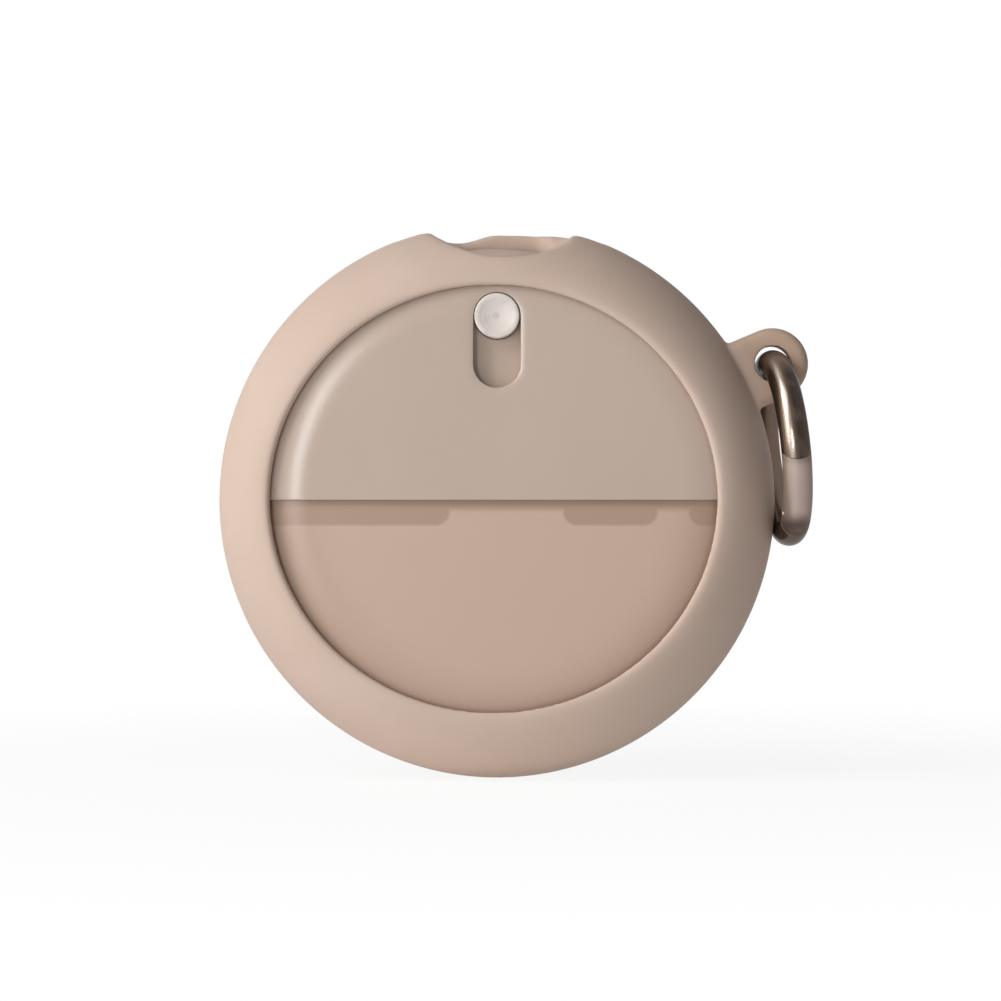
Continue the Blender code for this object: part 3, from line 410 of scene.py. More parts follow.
@dataclass(frozen=True)
class Moulded(Finish):
    """Moulded plastic with a fine spark-eroded texture and faint flow clouds."""

    name: str
    colour: Colour
    cloud: Colour
    roughness: float
    grain: float = 3800.0
    depth: float = 0.000012
    shine: float = 0.4
    scuffs: float = 0.1

    def tone(self, look: Look) -> bpy.types.NodeSocket:
        """Returns the plastic's colour over the piece."""
        flow = look.noise(30.0, 3.0, (1.0, 1.0, 0.6))
        return look.mix(flow.step(0.3, 0.75), self.colour, self.cloud)

    def sheen(self, look: Look) -> Term:
        """Returns the plastic's roughness over the piece."""
        return self.roughness

    def relief(self, look: Look, fine: Value) -> None:
        """Presses the texture into the surface.

        Args:
            look: The material.
            fine: The texture.
        """
        look.bump(fine, self.depth, 0.5)

    def make(self) -> bpy.types.Material:
        """Builds the material.

        Returns:
            The finished material.
        """
        look = Look(self.name)
        scuff = look.noise(420.0, 4.0, (0.25, 1.0, 1.0))
        self.relief(look, look.noise(self.grain, 1.5))
        return look.finish(
            Base_Color=self.tone(look),
            Roughness=self.sheen(look) + self.scuffs * (scuff - 0.5),
            Specular_IOR_Level=self.shine,
        )


@dataclass(frozen=True)
class CoverPlastic(Moulded):
    """The cover's plastic: sunk round the slot, with painted shade below its edge, matt under the
    lip.
    """

    top: float = 0.0312
    low: float = 0.023
    half: float = 0.00402
    sunk: float = 0.0013
    sink: float = 0.00013
    lip: tuple[float, float] = (0.0385, 0.0405)
    matt: float = 0.7
    # Painted shade colour for the lap strip and tongues below the cover's edge, seen through the
    # window.
    lap_shade: Colour = paint(122, 94, 78)

    def sheen(self, look: Look) -> Term:
        """Returns the plastic's roughness over the piece."""
        x, _, z = look.axes()
        return self.roughness + self.matt * ((x * x + z * z) ** 0.5).step(*self.lip)

    def tone(self, look: Look) -> bpy.types.NodeSocket:
        """Paints shade on the plastic below the cover's edge, over the lap strip and tongues.

        Args:
            look: The material.

        Returns:
            The plastic's colour.
        """
        _, _, z = look.axes()
        # Painted shade: below the cover's edge the colour turns to the lap shade colour.
        below = 1 - z.step(-0.0003, -0.0001)
        return look.mix(below, super().tone(look), self.lap_shade)

    def relief(self, look: Look, fine: Value) -> None:
        """Presses the texture and the slot's soft rim into the surface.

        Args:
            look: The material.
            fine: The texture.
        """
        x, _, z = look.axes()
        up = z - z.at_least(self.low).at_most(self.top)
        away = ((x * x + up * up) ** 0.5 - self.half) * (1 / self.sunk)
        rest = 1 - away.at_least(0.0).at_most(1.0)
        look.bump(fine * (self.depth / self.sink) - rest * rest, self.sink)


@dataclass(frozen=True)
class SlotFloor(Moulded):
    """The slide plate's plastic, with a painted ring of shade round the button's foot."""

    height: float = 0.0
    radius: float = 0.00385
    shade_ring: float = 0.00022
    # Colour of the painted shade ring round the button's foot.
    shade_ring_colour: Colour = paint(84, 66, 56)

    def tone(self, look: Look) -> bpy.types.NodeSocket:
        """Paints a thin ring of shade round the stem.

        Args:
            look: The material.

        Returns:
            The plastic's colour.
        """
        x, _, z = look.axes()
        up = z - self.height
        away = ((x * x + up * up) ** 0.5 - self.radius).size()
        # Painted shade: a thin dark ring where the button meets the plate, standing in for the
        # gap's shadow.
        shade_ring = 1 - away.step(0.4 * self.shade_ring, self.shade_ring)
        return look.mix(shade_ring, super().tone(look), self.shade_ring_colour)


@dataclass(frozen=True)
class TintedWindow(Finish):
    """Milky tinted plastic, with painted shade near its rim and, softened, where the cover's lap
    strip and tongues lie behind its top edge.
    """

    name: str
    tint: Colour
    # Painted shade colour near the rim, under the lip.
    edge: Colour
    # Painted shade colour over the lap strip and tongues behind the window.
    lap_shade: Colour
    clear: float
    roughness: float
    strip: float = 0.0017
    tongue: float = 0.0043
    corner: float = 0.0024
    tongues: tuple[tuple[float, float], ...] = ((-0.044, -0.008), (0.0112, 0.0272), (0.0325, 0.044))
    blur: float = 0.00035

    def behind(self, x: Value, z: Value) -> Value:
        """Marks where the cover's lap strip and tongues lie behind the window.

        Args:
            x: How far right.
            z: How high.

        Returns:
            1 over them, 0 elsewhere.
        """
        mark = (z + self.strip).step(-2 * self.blur, 2 * self.blur)
        for left, right in self.tongues:
            reach = (right - left) / 2 - self.corner
            across = ((x - (left + right) / 2).size() - reach).at_least(0.0)
            down = (0.0 - z - (self.tongue - self.corner)).at_least(0.0)
            out = (across * across + down * down) ** 0.5 - self.corner
            mark = mark.at_least(1 - out.step(-self.blur, self.blur))
        return mark

    def make(self) -> bpy.types.Material:
        """Builds the material.

        Returns:
            The finished material.
        """
        look = Look(self.name)
        x, _, z = look.axes()
        # Towards the rim the window grows milkier, which is real, and its colour darkens towards
        # the edge colour, which is painted shade under the lip.
        haze_and_rim_shade = ((x * x + z * z) ** 0.5).step(0.0265, 0.0375)
        cloud = look.noise(60.0, 3.0)
        scratch = look.noise(900.0, 3.0, (0.08, 1.0, 1.0)).step(0.6, 0.8)
        body = look.mix(haze_and_rim_shade * 0.85 + cloud * 0.1, self.tint, self.edge)
        # Painted shade over the lap strip and tongues behind the window, with a painted shadow
        # darkest just below the cover's edge.
        shade = self.behind(x, z) * (0.62 + 0.38 * z.step(-0.0016, -0.0004))
        look.bump(look.noise(1500.0, 2.0), 0.00001, 0.4)
        return look.finish(
            Base_Color=look.mix(shade, body, self.lap_shade),
            Roughness=self.roughness + 0.12 * scratch,
            Alpha=1 - self.clear * (1 - 0.5 * haze_and_rim_shade),
            IOR=1.49,
        )


@dataclass(frozen=True)
class Pearl(Finish):
    """Pale pearly plastic with fine turned rings and a small pit in its middle, painted darker as
    shade.
    """

    name: str
    colour: Colour
    shade: Colour
    roughness: float
    height: float

    def make(self) -> bpy.types.Material:
        """Builds the material.

        Returns:
            The finished material.
        """
        look = Look(self.name)
        x, _, z = look.axes()
        up = z - self.height
        radius = (x * x + up * up) ** 0.5
        rings = (radius * 9000.0).wave()
        cloud = look.noise(520.0, 4.0)
        # The pit is pressed in by the bump and also painted towards the shade colour, which is
        # painted shade in the hollow. The clouds mix towards the same colour as random tone.
        pit = 1 - radius.step(0.0002, 0.0009)
        look.bump(rings * 0.25 + cloud - pit * 2.0, 0.00004, 0.5)
        return look.finish(
            Base_Color=look.mix(
                (cloud.step(0.45, 0.72) * 0.4 + pit * 0.6).at_most(1.0), self.colour, self.shade
            ),
            Roughness=self.roughness + 0.1 * (cloud - 0.5),
            Coat_Weight=0.12,
            Coat_Roughness=0.25,
        )


@dataclass(frozen=True)
class Plated(Finish):
    """Plated wire with rubbed patches and fine scratches."""

    name: str
    colour: Colour
    worn: Colour
    roughness: float
    scratches: float = 0.5
    metal: float = 1.0
    coat: float = 0.0
    film: float = 0.12

    def tone(self, look: Look) -> tuple[Feed, Term]:
        """Returns the plating's colour over the piece, and how dull it is there."""
        return self.colour, 0.0

    def make(self) -> bpy.types.Material:
        """Builds the material.

        Returns:
            The finished material.
        """
        look = Look(self.name)
        rub = look.noise(220.0, 4.0).step(0.52, 0.72)
        fine = look.noise(2600.0, 3.0, (1.0, 1.0, 0.5))
        look.bump(fine, 0.00001, self.scratches)
        colour, dull = self.tone(look)
        return look.finish(
            Base_Color=look.mix(rub * 0.35, colour, self.worn),
            Metallic=self.metal,
            Roughness=0.12 * (fine - 0.5) + 0.1 * rub + self.roughness + 0.3 * dull,
            Coat_Weight=self.coat,
            Coat_Roughness=self.film,
            Specular_Tint=(0.3, 0.27, 0.25),
        )


@dataclass(frozen=True)
class PaintedHighlightPlate(Plated):
    """Ring plating with a painted highlight stripe towards the case and painted shade away from it.
    """

    centre: tuple[float, float, float] = (0.0, 0.0, 0.0)
    across: tuple[float, float, float] = (1.0, 0.0, 0.0)
    wire: float = 0.0025
    stops: tuple[tuple[float, Colour], ...] = ()
    dull: Colour = (0.2, 0.2, 0.2)
    top: tuple[float, float] = (0.021, 0.0245)
    foot: tuple[float, float] = (-0.0016, -0.0044)
    rear: tuple[float, float] = (1.0, 2.0)

    def tone(self, look: Look) -> tuple[Feed, Term]:
        """Paints a highlight stripe and shade across the wire, and makes it duller and darker at
        its ends and back.

        Args:
            look: The material.

        Returns:
            The plating's colour, and how dull it is there.
        """
        away = look.vector("SUBTRACT", look.place(), self.centre).outputs[0]
        side = Value(look, look.vector("DOT_PRODUCT", away, self.across).outputs["Value"])
        # Painted highlight and shade: the ramp runs across the wire, with a pale stripe towards the
        # case standing in for a highlight and dark stops away from it standing in for shade.
        ramp = look.node(
            "ShaderNodeValToRGB", {"stops": self.stops}, {0: side * (0.5 / self.wire) + 0.5}
        )
        _, y, z = look.axes()
        dull = z.step(*self.top).at_least(1 - z.step(*self.foot[::-1])).at_least(y.step(*self.rear))
        return look.mix(dull, ramp.outputs[0], self.dull), dull


# Piece making.


class Body(Enum):
    """The bodies that move apart."""

    CASE = "case"
    SLIDER = "gate_slider"
    RING = "carry_ring"
    LATCH = "ring_latch"


class Slot(Enum):
    """The finishes as the part's record names them."""

    RUBBER = "sleeve_rubber"
    SHELL = "shell_taupe"
    WINDOW = "window_clear"
    SLIDER = "slider_plastic"
    SEAL = "seal_rubber"
    PEARL = "button_pearl"
    STEEL = "spring_steel"
    RING = "ring_nickel"
    LATCH = "ring_gate_nickel"


class Former:
    """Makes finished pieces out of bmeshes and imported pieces."""

    def __init__(self, nodes: Mapping[str, bpy.types.Object]) -> None:
        """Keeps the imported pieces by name."""
        self.nodes = nodes

    def opened(self, name: str) -> bmesh.types.BMesh:
        """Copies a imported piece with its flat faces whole.

        Args:
            name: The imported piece.

        Returns:
            Its mesh.
        """
        bm = bmesh.new()
        bm.from_mesh(self.nodes[name].data)
        bmesh.ops.remove_doubles(bm, verts=bm.verts, dist=2e-7)
        flat = math.radians(0.2)
        bmesh.ops.dissolve_limit(bm, angle_limit=flat, verts=bm.verts, edges=bm.edges)
        bm.normal_update()
        return bm

    @staticmethod
    def soften(
        bm: bmesh.types.BMesh,
        edges: Iterable[bmesh.types.BMEdge],
        width: float,
        clamp: bool = True,
    ) -> None:
        """Rounds edges.

        Args:
            bm: The mesh they are in.
            edges: The edges.
            width: How far the rounding reaches from each.
            clamp: Whether it stops short of the next edge.
        """
        bmesh.ops.bevel(
            bm,
            geom=list(edges),
            offset=width,
            segments=3,
            profile=0.5,
            affect="EDGES",
            clamp_overlap=clamp,
        )

    def place(
        self,
        name: str,
        shape: Union[bmesh.types.BMesh, bpy.types.Mesh],
        body: Body,
        finish: Finish,
        slot: Slot,
        replaced: Sequence[str] = (),
        firm: bool = True,
    ) -> bpy.types.Object:
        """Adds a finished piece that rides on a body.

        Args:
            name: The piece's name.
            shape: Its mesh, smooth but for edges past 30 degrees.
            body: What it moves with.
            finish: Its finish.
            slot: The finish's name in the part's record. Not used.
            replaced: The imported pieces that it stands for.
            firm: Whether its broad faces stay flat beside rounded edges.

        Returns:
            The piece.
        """
        mesh = shape
        if isinstance(shape, bmesh.types.BMesh):
            mesh = bpy.data.meshes.new(name)
            shape.to_mesh(mesh)
            shape.free()
        mesh.shade_smooth()
        mesh.set_sharp_from_angle(angle=math.radians(30))
        mesh.materials.clear()
        mesh.materials.append(finish.make())
        piece = bpy.data.objects.new(name, mesh)
        bpy.context.scene.collection.objects.link(piece)
        if firm:
            hold = piece.modifiers.new("firm_faces", "WEIGHTED_NORMAL")
            hold.keep_sharp = True
        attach(piece, body.value)
        if replaced:
            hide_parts(*replaced)
        log.info("%s: %s, %d faces", name, finish.name, len(mesh.polygons))
        return piece

    def carry(self, name: str, body: Body, finish: Finish, slot: Slot) -> bpy.types.Object:
        """Adds a smooth-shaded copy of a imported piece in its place."""
        return self.place(f"{name}_dressed", self.opened(name), body, finish, slot, [name])

    @staticmethod
    def settled(source: bpy.types.Object) -> bpy.types.Mesh:
        """Applies an object's modifiers and removes it.

        Args:
            source: The object.

        Returns:
            Its final mesh.
        """
        bpy.context.view_layer.update()
        graph = bpy.context.evaluated_depsgraph_get()
        mesh = bpy.data.meshes.new_from_object(source.evaluated_get(graph))
        bpy.data.objects.remove(source, do_unlink=True)
        return mesh


def polar(radius: float, degrees: float) -> Vector:
    """Returns x and z at a radius and an angle from +X towards +Z."""
    turn = math.radians(degrees)
    return Vector((radius * math.cos(turn), radius * math.sin(turn)))


def smooth(share: float) -> float:
    """Returns a smooth step of a share, held between 0 and 1."""
    held = min(1.0, max(0.0, share))
    return held * held * (3 - 2 * held)


# Sub-assemblies.


@dataclass(frozen=True)
class Casing:
    """Sizes that the sleeve and the shells share, in metres."""

    gap: float = 0.0003
    wall: float = 0.0016
    sleeve_radius: float = 0.048
    shell_radius: float = 0.043
    cover_face: float = 0.0242
    front_rim: float = 0.0182
    front_edge: float = 0.011
    back_edge: float = 0.015
    back_depth: float = 0.005
    mouth_low: float = 0.0058
    mouth_high: float = 0.0158

    def front_curve(self, inset: float, start: float, count: int) -> Outline:
        """Follows the rounding of the front shell outwards.

        Args:
            inset: How far inside the shell's outside it runs.
            start: The radius it starts at.
            count: How many points.

        Returns:
            Radius and depth of each point.
        """
        centre = self.shell_radius - self.front_edge
        across = self.front_edge - inset
        deep = self.cover_face - self.front_rim - inset
        first = math.asin(min(1.0, max(0.0, (start - centre) / across)))
        turns = [first + (math.pi / 2 - first) * i / (count - 1) for i in range(count)]
        return [(centre + across * math.sin(t), self.front_rim + deep * math.cos(t)) for t in turns]

    def back_curve(self, inset: float, start: float, count: int) -> Outline:
        """Follows the rounding of the rear shell outwards.

        Args:
            inset: How far inside the shell's outside it runs.
            start: The radius it starts at.
            count: How many points.

        Returns:
            Radius and depth of each point.
        """
        centre = self.shell_radius - self.back_edge
        across = self.back_edge - inset
        deep = self.back_depth - inset
        first = math.asin(min(1.0, max(0.0, (start - centre) / across)))
        turns = [first + (math.pi / 2 - first) * i / (count - 1) for i in range(count)]
        return [
            (centre + across * math.sin(t), self.back_depth - deep * math.cos(t)) for t in turns
        ]


@dataclass
class Sleeve:
    """The soft bumper sleeve with its carry lug and pouring notch, softly rounded all over."""

    former: Former
    case: Casing = field(default_factory=Casing)
    steps: int = 240
    front: float = 0.025
    back: float = 0.0004
    back_width: float = 0.0075
    crown_powers: tuple[float, float] = (1.6, 2.7)
    roll: float = 0.0007
    foot: float = 0.0003
    lip: float = 0.0012
    half_width: float = 0.0378
    half_height: float = 0.0361
    shift: tuple[float, float] = (-0.0006, 0.0002)
    back_opening: float = 0.0389
    notch: tuple[float, float] = (-0.0116, 0.0135)
    crest_drop: float = 0.0065
    back_drop: float = 0.0013
    dip_drop: float = 0.0028
    dip_x: float = -0.0067
    notch_powers: tuple[float, float] = (2.0, 2.8)
    ramp: tuple[float, float] = (0.0052, 0.0095)
    lean: tuple[float, float] = (0.0035, 0.001)
    back_fall: float = 0.0007
    eased: tuple[float, int] = (0.0385, 26)
    lug_angle: float = 26.3
    lug_reach: float = 0.005
    hole: float = 0.0031
    lug_rim: float = 0.0031
    lug_thickness: float = 0.005
    lug_root: tuple[float, float] = (-7.4, 8.6)
    voxel: float = 0.00036

    def lip_radius(self, angle: float) -> float:
        """Measures the oval front opening.

        Args:
            angle: Where to measure, in radians.

        Returns:
            The opening's radius there.
        """
        cos, sin = math.cos(angle), math.sin(angle)
        wide, tall = self.half_width, self.half_height
        square = (cos / wide) ** 2 + (sin / tall) ** 2
        middle = cos * self.shift[0] / wide**2 + sin * self.shift[1] / tall**2
        rest = (self.shift[0] / wide) ** 2 + (self.shift[1] / tall) ** 2 - 1
        return (middle + math.sqrt(middle**2 - square * rest)) / square

    def front_lip(self, radius: float, under: float) -> Outline:
        """Rolls the front lip over from its underside to its crest.

        Args:
            radius: The opening's radius.
            under: Depth of the lip's underside.

        Returns:
            Radius and depth of each point.
        """
        foot = under + self.foot
        turns = [math.pi / 2 * i / 8 for i in range(9)]
        rise = self.front - foot
        edge = [(radius + self.roll * (1 - math.cos(t)), foot + rise * math.sin(t)) for t in turns]
        return [(radius + self.foot, under), *edge]

    def back_lip(self, radius: float, under: float) -> Outline:
        """Rounds the back lip from its underside to its outside.

        Args:
            radius: The opening's radius.
            under: Depth of the lip's underside.

        Returns:
            Radius and depth of each point.
        """
        half = self.lip / 2
        turns = [math.pi * i / 8 for i in range(1, 9)]
        edge = [
            (radius + half * (1 - math.sin(t)), under - half + half * math.cos(t)) for t in turns
        ]
        return [(radius + half, under), *edge]

    def crown(self, crest: float) -> Outline:
        """Rounds the band's outside from the front lip's crest over the rim to the back.

        Args:
            crest: The crest's radius.

        Returns:
            Radius and depth of each point after the crest.
        """
        middle = (self.front + self.back) / 2
        half = (self.front - self.back) / 2
        widths = (self.case.sleeve_radius - crest, self.back_width)
        points = []
        rim = self.case.sleeve_radius
        for i in range(1, 41):
            turn = math.pi * i / 40
            side = 0 if i <= 20 else 1
            out = max(0.0, math.sin(turn)) ** (2 / self.crown_powers[side])
            deep = math.copysign(abs(math.cos(turn)) ** (2 / self.crown_powers[side]), 20 - i)
            points.append((rim - widths[side] * (1 - out), middle + half * deep))
        return points

    def section(self, angle: float) -> Outline:
        """Draws the band's section.

        Args:
            angle: Where round the band, in radians.

        Returns:
            Radius and depth of each point of the closed section.
        """
        radius = self.lip_radius(angle)
        under_front = self.case.front_curve(-self.case.gap, radius + self.foot, 14)
        under_back = self.case.back_curve(-self.case.gap, self.back_opening, 12)
        front = self.front_lip(radius, under_front[0][1])
        back = self.back_lip(self.back_opening, under_back[0][1])
        crown = self.crown(radius + self.roll)
        return front + crown + back[::-1] + under_back[1:] + under_front[:0:-1]

    def band(self) -> bmesh.types.BMesh:
        """Lofts the band through its sections round the case.

        Returns:
            The closed band.
        """
        bm = bmesh.new()
        rings = []
        for i in range(self.steps):
            angle = 2 * math.pi * i / self.steps
            cos, sin = math.cos(angle), math.sin(angle)
            rings.append([bm.verts.new((r * cos, -h, r * sin)) for r, h in self.section(angle)])
        for near, far in zip(rings, rings[1:] + rings[:1]):
            for corners in zip(near, near[1:] + near[:1], far[1:] + far[:1], far):
                bm.faces.new(corners)
        bmesh.ops.recalc_face_normals(bm, faces=bm.faces)
        return bm

    def notch_height(self, x: float, h: float) -> float:
        """Measures how high rubber is left in the pouring notch.

        Args:
            x: How far to the right.
            h: How far forward of the back.

        Returns:
            The height there.
        """
        rim = self.case.sleeve_radius
        left, right = self.notch
        half = (right - left) / 2
        crest = rim - self.crest_drop
        rise = math.sqrt(rim**2 - half**2) - crest
        share = (x - (left + right) / 2) / half
        front = crest + rise * abs(share) ** self.notch_powers[0 if share < 0 else 1]
        back = rim - self.dip_drop
        if x < self.dip_x:
            end = math.sqrt(rim**2 - left**2)
            back += (end - back) * ((self.dip_x - x) / (self.dip_x - left)) ** 3
        else:
            back += (self.dip_drop - self.back_drop) * smooth((x - self.dip_x) / -self.dip_x)
            back -= self.back_fall * (max(0.0, x) / right) ** 2
        start, forward = self.lean
        shift = forward * smooth((x - start) / start)
        low, high = (edge + shift for edge in self.ramp)
        return front + (back - front) * smooth((high - h) / (high - low))

    def notch_space(self) -> bmesh.types.BMesh:
        """Returns the space above the pouring notch."""
        bm = bmesh.new()
        bmesh.ops.create_grid(bm, x_segments=56, y_segments=48, size=0.5)
        left, right = self.notch
        margin = 0.002
        for vert in bm.verts:
            x = left - margin + (vert.co.x + 0.5) * (right - left + 2 * margin)
            h = self.front / 2 - vert.co.y * (self.front + 2 * self.case.wall)
            vert.co = (x, -h, self.notch_height(x, h))
        top = bmesh.ops.extrude_face_region(bm, geom=bm.faces[:])["geom"]
        for vert in (item for item in top if isinstance(item, bmesh.types.BMVert)):
            vert.co.z = self.case.sleeve_radius + self.crest_drop
        bmesh.ops.recalc_face_normals(bm, faces=bm.faces)
        return bm

    def lug_outline(self) -> Outline:
        """Returns the lug's outline: a round eye that flares into the band on both sides."""
        eye = polar(self.case.sleeve_radius + self.lug_reach, self.lug_angle)
        outer = self.hole + self.lug_rim
        root = self.case.sleeve_radius - self.lug_rim
        low, high = (polar(root, self.lug_angle + turn) for turn in self.lug_root)
        ends = []
        for corner, side in ((low, 1), (high, -1)):
            away = corner - eye
            touch = math.atan2(away.y, away.x) + side * math.acos(outer / away.length)
            ends.append(touch)
        start, end = ends[0], ends[1] + (2 * math.pi if ends[1] < ends[0] else 0)
        turns = [start + (end - start) * i / 36 for i in range(37)]
        ring = [(eye.x + outer * math.cos(t), eye.y + outer * math.sin(t)) for t in turns]
        return [tuple(low), *ring, tuple(high)]

    def lug(self) -> bmesh.types.BMesh:
        """Returns the lug's plate with rounded edges."""
        middle = (self.front + self.back) / 2
        half = self.lug_thickness / 2
        bm = bmesh.new()
        base = [bm.verts.new((x, half - middle, z)) for x, z in self.lug_outline()]
        face = bm.faces.new(base)
        top = bmesh.ops.extrude_face_region(bm, geom=[face])["geom"]
        for vert in (item for item in top if isinstance(item, bmesh.types.BMVert)):
            vert.co.y -= self.lug_thickness
        bmesh.ops.recalc_face_normals(bm, faces=bm.faces)
        rims = [e for e in bm.edges if abs(e.verts[0].co.y - e.verts[1].co.y) < self.case.gap]
        Former.soften(bm, rims, 0.0014)
        return bm

    def hole_space(self) -> bmesh.types.BMesh:
        """Returns the rod that pierces the lug."""
        eye = polar(self.case.sleeve_radius + self.lug_reach, self.lug_angle)
        bm = bmesh.new()
        bmesh.ops.create_cone(
            bm, cap_ends=True, segments=64, radius1=self.hole, radius2=self.hole, depth=self.front
        )
        turn = Matrix.Rotation(math.pi / 2, 4, "X")
        bm.transform(Matrix.Translation((eye.x, -self.front / 2, eye.y)) @ turn)
        return bm

    def mouth_space(self) -> bmesh.types.BMesh:
        """Returns the opening through the band above the pouring mouth."""
        relief = 0.001
        wide = 0.008 + relief
        low, high = self.case.mouth_low - relief / 2, self.case.mouth_high + relief
        bm = bmesh.new()
        bmesh.ops.create_cube(bm, size=1.0)
        for vert in bm.verts:
            h = high if vert.co.y < 0 else low
            z = self.case.shell_radius + 0.5 * self.case.wall * (8 if vert.co.z > 0 else -2)
            vert.co = (math.copysign(wide, vert.co.x), -h, z)
        upright = [e for e in bm.edges if abs(e.verts[0].co.z - e.verts[1].co.z) > relief]
        Former.soften(bm, upright, 0.003)
        return bm

    def tool(self, name: str, bm: bmesh.types.BMesh) -> bpy.types.Object:
        """Adds an object that the sleeve is joined or cut with.

        Args:
            name: The object's name.
            bm: Its mesh, which is used up.

        Returns:
            The object.
        """
        mesh = bpy.data.meshes.new(name)
        bm.to_mesh(mesh)
        bm.free()
        made = bpy.data.objects.new(name, mesh)
        bpy.context.scene.collection.objects.link(made)
        return made

    def ease_notch(self, bm: bmesh.types.BMesh) -> None:
        """Rounds the notch's crests further than the rest.

        Args:
            bm: The finished sleeve.
        """
        level, times = self.eased
        left, right = self.notch
        near = []
        for vert in bm.verts:
            over = vert.co.z - level
            behind = vert.co.y > -self.front / 5 and over < 2 * self.lip
            if over > 0 and not behind and left - over < vert.co.x < right + over:
                near.append(vert)
        for _ in range(times):
            bmesh.ops.smooth_vert(
                bm, verts=near, factor=0.5, use_axis_x=True, use_axis_y=True, use_axis_z=True
            )

    def build(self, finish: Finish) -> None:
        """Joins the lug, cuts the openings and rounds everything like soft moulded rubber.

        Args:
            finish: The sleeve's rubber.
        """
        base = self.tool("band", self.band())
        tools = [
            ("UNION", self.tool("lug", self.lug())),
            ("DIFFERENCE", self.tool("hole", self.hole_space())),
            ("DIFFERENCE", self.tool("notch", self.notch_space())),
            ("DIFFERENCE", self.tool("mouth", self.mouth_space())),
        ]
        for operation, tool in tools:
            step = base.modifiers.new(operation, "BOOLEAN")
            step.operation = operation
            step.solver = "EXACT"
            step.object = tool
        skin = base.modifiers.new("skin", "REMESH")
        skin.mode = "VOXEL"
        skin.voxel_size = self.voxel
        ease = base.modifiers.new("ease", "SMOOTH")
        ease.factor = 0.5
        ease.iterations = 4
        thin = base.modifiers.new("thin", "DECIMATE")
        thin.ratio = 0.3
        mesh = Former.settled(base)
        for _, tool in tools:
            bpy.data.objects.remove(tool, do_unlink=True)
        bm = bmesh.new()
        bm.from_mesh(mesh)
        self.ease_notch(bm)
        self.former.place(
            "sleeve_soft", bm, Body.CASE, finish, Slot.RUBBER, ["bumper_sleeve"], firm=False
        )


@dataclass
class Shells:
    """The cover with its slot, the tinted window, the rear pan and their seal."""

    former: Former
    case: Casing = field(default_factory=Casing)
    slot_rounding: float = 0.00012
    edge_rounding: float = 0.00012
    seam: float = 0.00004
    slot_half: float = 0.00402
    button_z: float = 0.0312
    travel: float = 0.0082

    def faces_out(self, face: bmesh.types.BMFace) -> bool:
        """Tells whether a face belongs to a front shell's outside."""
        middle = face.calc_center_median()
        return face.normal.y < -0.02 and middle.y < -self.case.front_rim

    def slot_rim(self, bm: bmesh.types.BMesh) -> list[bmesh.types.BMEdge]:
        """Finds the slot's outer rim below the button.

        Args:
            bm: The cover.

        Returns:
            The rim's edges.
        """
        low = self.button_z - self.travel
        rim = []
        for edge in bm.edges:
            if len(edge.link_faces) != 2 or edge.calc_face_angle() < 1.0:
                continue
            if not any(self.faces_out(face) for face in edge.link_faces):
                continue
            if max(vert.co.z for vert in edge.verts) > self.button_z + self.seam:
                continue
            reach = [math.hypot(v.co.x, v.co.z - max(v.co.z, low)) for v in edge.verts]
            if max(abs(r - self.slot_half) for r in reach) < self.seam:
                rim.append(edge)
        return rim

    def split_edge(self, bm: bmesh.types.BMesh, level: float) -> list[bmesh.types.BMEdge]:
        """Finds a front shell's outer edge where cover and window meet.

        Args:
            bm: The shell.
            level: Its height.

        Returns:
            The edge's pieces.
        """
        found = []
        for edge in bm.edges:
            if max(abs(vert.co.z - level) for vert in edge.verts) > 1e-5:
                continue
            if len(edge.link_faces) != 2:
                continue
            one, two = edge.link_faces
            if abs(one.normal.z) < abs(two.normal.z):
                one, two = two, one
            if abs(one.normal.z) > 0.9 and abs(two.normal.z) < 0.5 and self.faces_out(two):
                found.append(edge)
        return found

    def build(self, cover: Finish, window: Finish, pan: Finish, seal: Finish) -> None:
        """Softens the shells' outer edges and dresses them.

        Args:
            cover: The cover's finish.
            window: The window's finish.
            pan: The rear pan's finish.
            seal: The seal's finish.
        """
        bm = self.former.opened("front_cover")
        self.former.soften(bm, self.slot_rim(bm), self.slot_rounding, clamp=False)
        self.former.soften(bm, self.split_edge(bm, 0.0), self.edge_rounding)
        self.former.place("cover", bm, Body.CASE, cover, Slot.SHELL, ["front_cover"])
        bm = self.former.opened("window")
        for vert in bm.verts:
            if abs(vert.co.z + self.case.gap) < 1e-5:
                vert.co.z = -self.seam / 2
        self.former.place("window_pane", bm, Body.CASE, window, Slot.WINDOW, ["window"])
        self.former.carry("rear_shell", Body.CASE, pan, Slot.SHELL)
        self.former.carry("shell_seal", Body.CASE, seal, Slot.SEAL)


@dataclass
class SlideGate:
    """The button, its plate and screw, and the gate with its seal, all of which slide."""

    former: Former

    def build(
        self, pearl: Finish, floor: Finish, plastic: Finish, seal: Finish, steel: Finish
    ) -> None:
        """Dresses the sliding pieces.

        Args:
            pearl: The button's finish.
            floor: The slide plate's finish.
            plastic: The gate's finish.
            seal: The gate seal's finish.
            steel: The screw's finish.
        """
        carry = self.former.carry
        carry("slide_button", Body.SLIDER, pearl, Slot.PEARL)
        carry("slide_plate", Body.SLIDER, floor, Slot.SHELL)
        carry("mouth_gate", Body.SLIDER, plastic, Slot.SLIDER)
        carry("gate_seal", Body.SLIDER, seal, Slot.SEAL)
        carry("button_screw", Body.SLIDER, steel, Slot.STEEL)


@dataclass
class Rails:
    """The slider's two rails, the detent leaf and their four screws."""

    former: Former
    screws: int = 4

    def build(self, plastic: Finish, steel: Finish) -> None:
        """Dresses the rails and what holds them.

        Args:
            plastic: The rails' finish.
            steel: The finish of the leaf and the screws.
        """
        for side in ("left", "right"):
            self.former.carry(f"guide_rail_{side}", Body.CASE, plastic, Slot.SLIDER)
        self.former.carry("detent_spring", Body.CASE, steel, Slot.STEEL)
        for number in range(1, self.screws + 1):
            self.former.carry(f"rail_screw_{number}", Body.CASE, steel, Slot.STEEL)


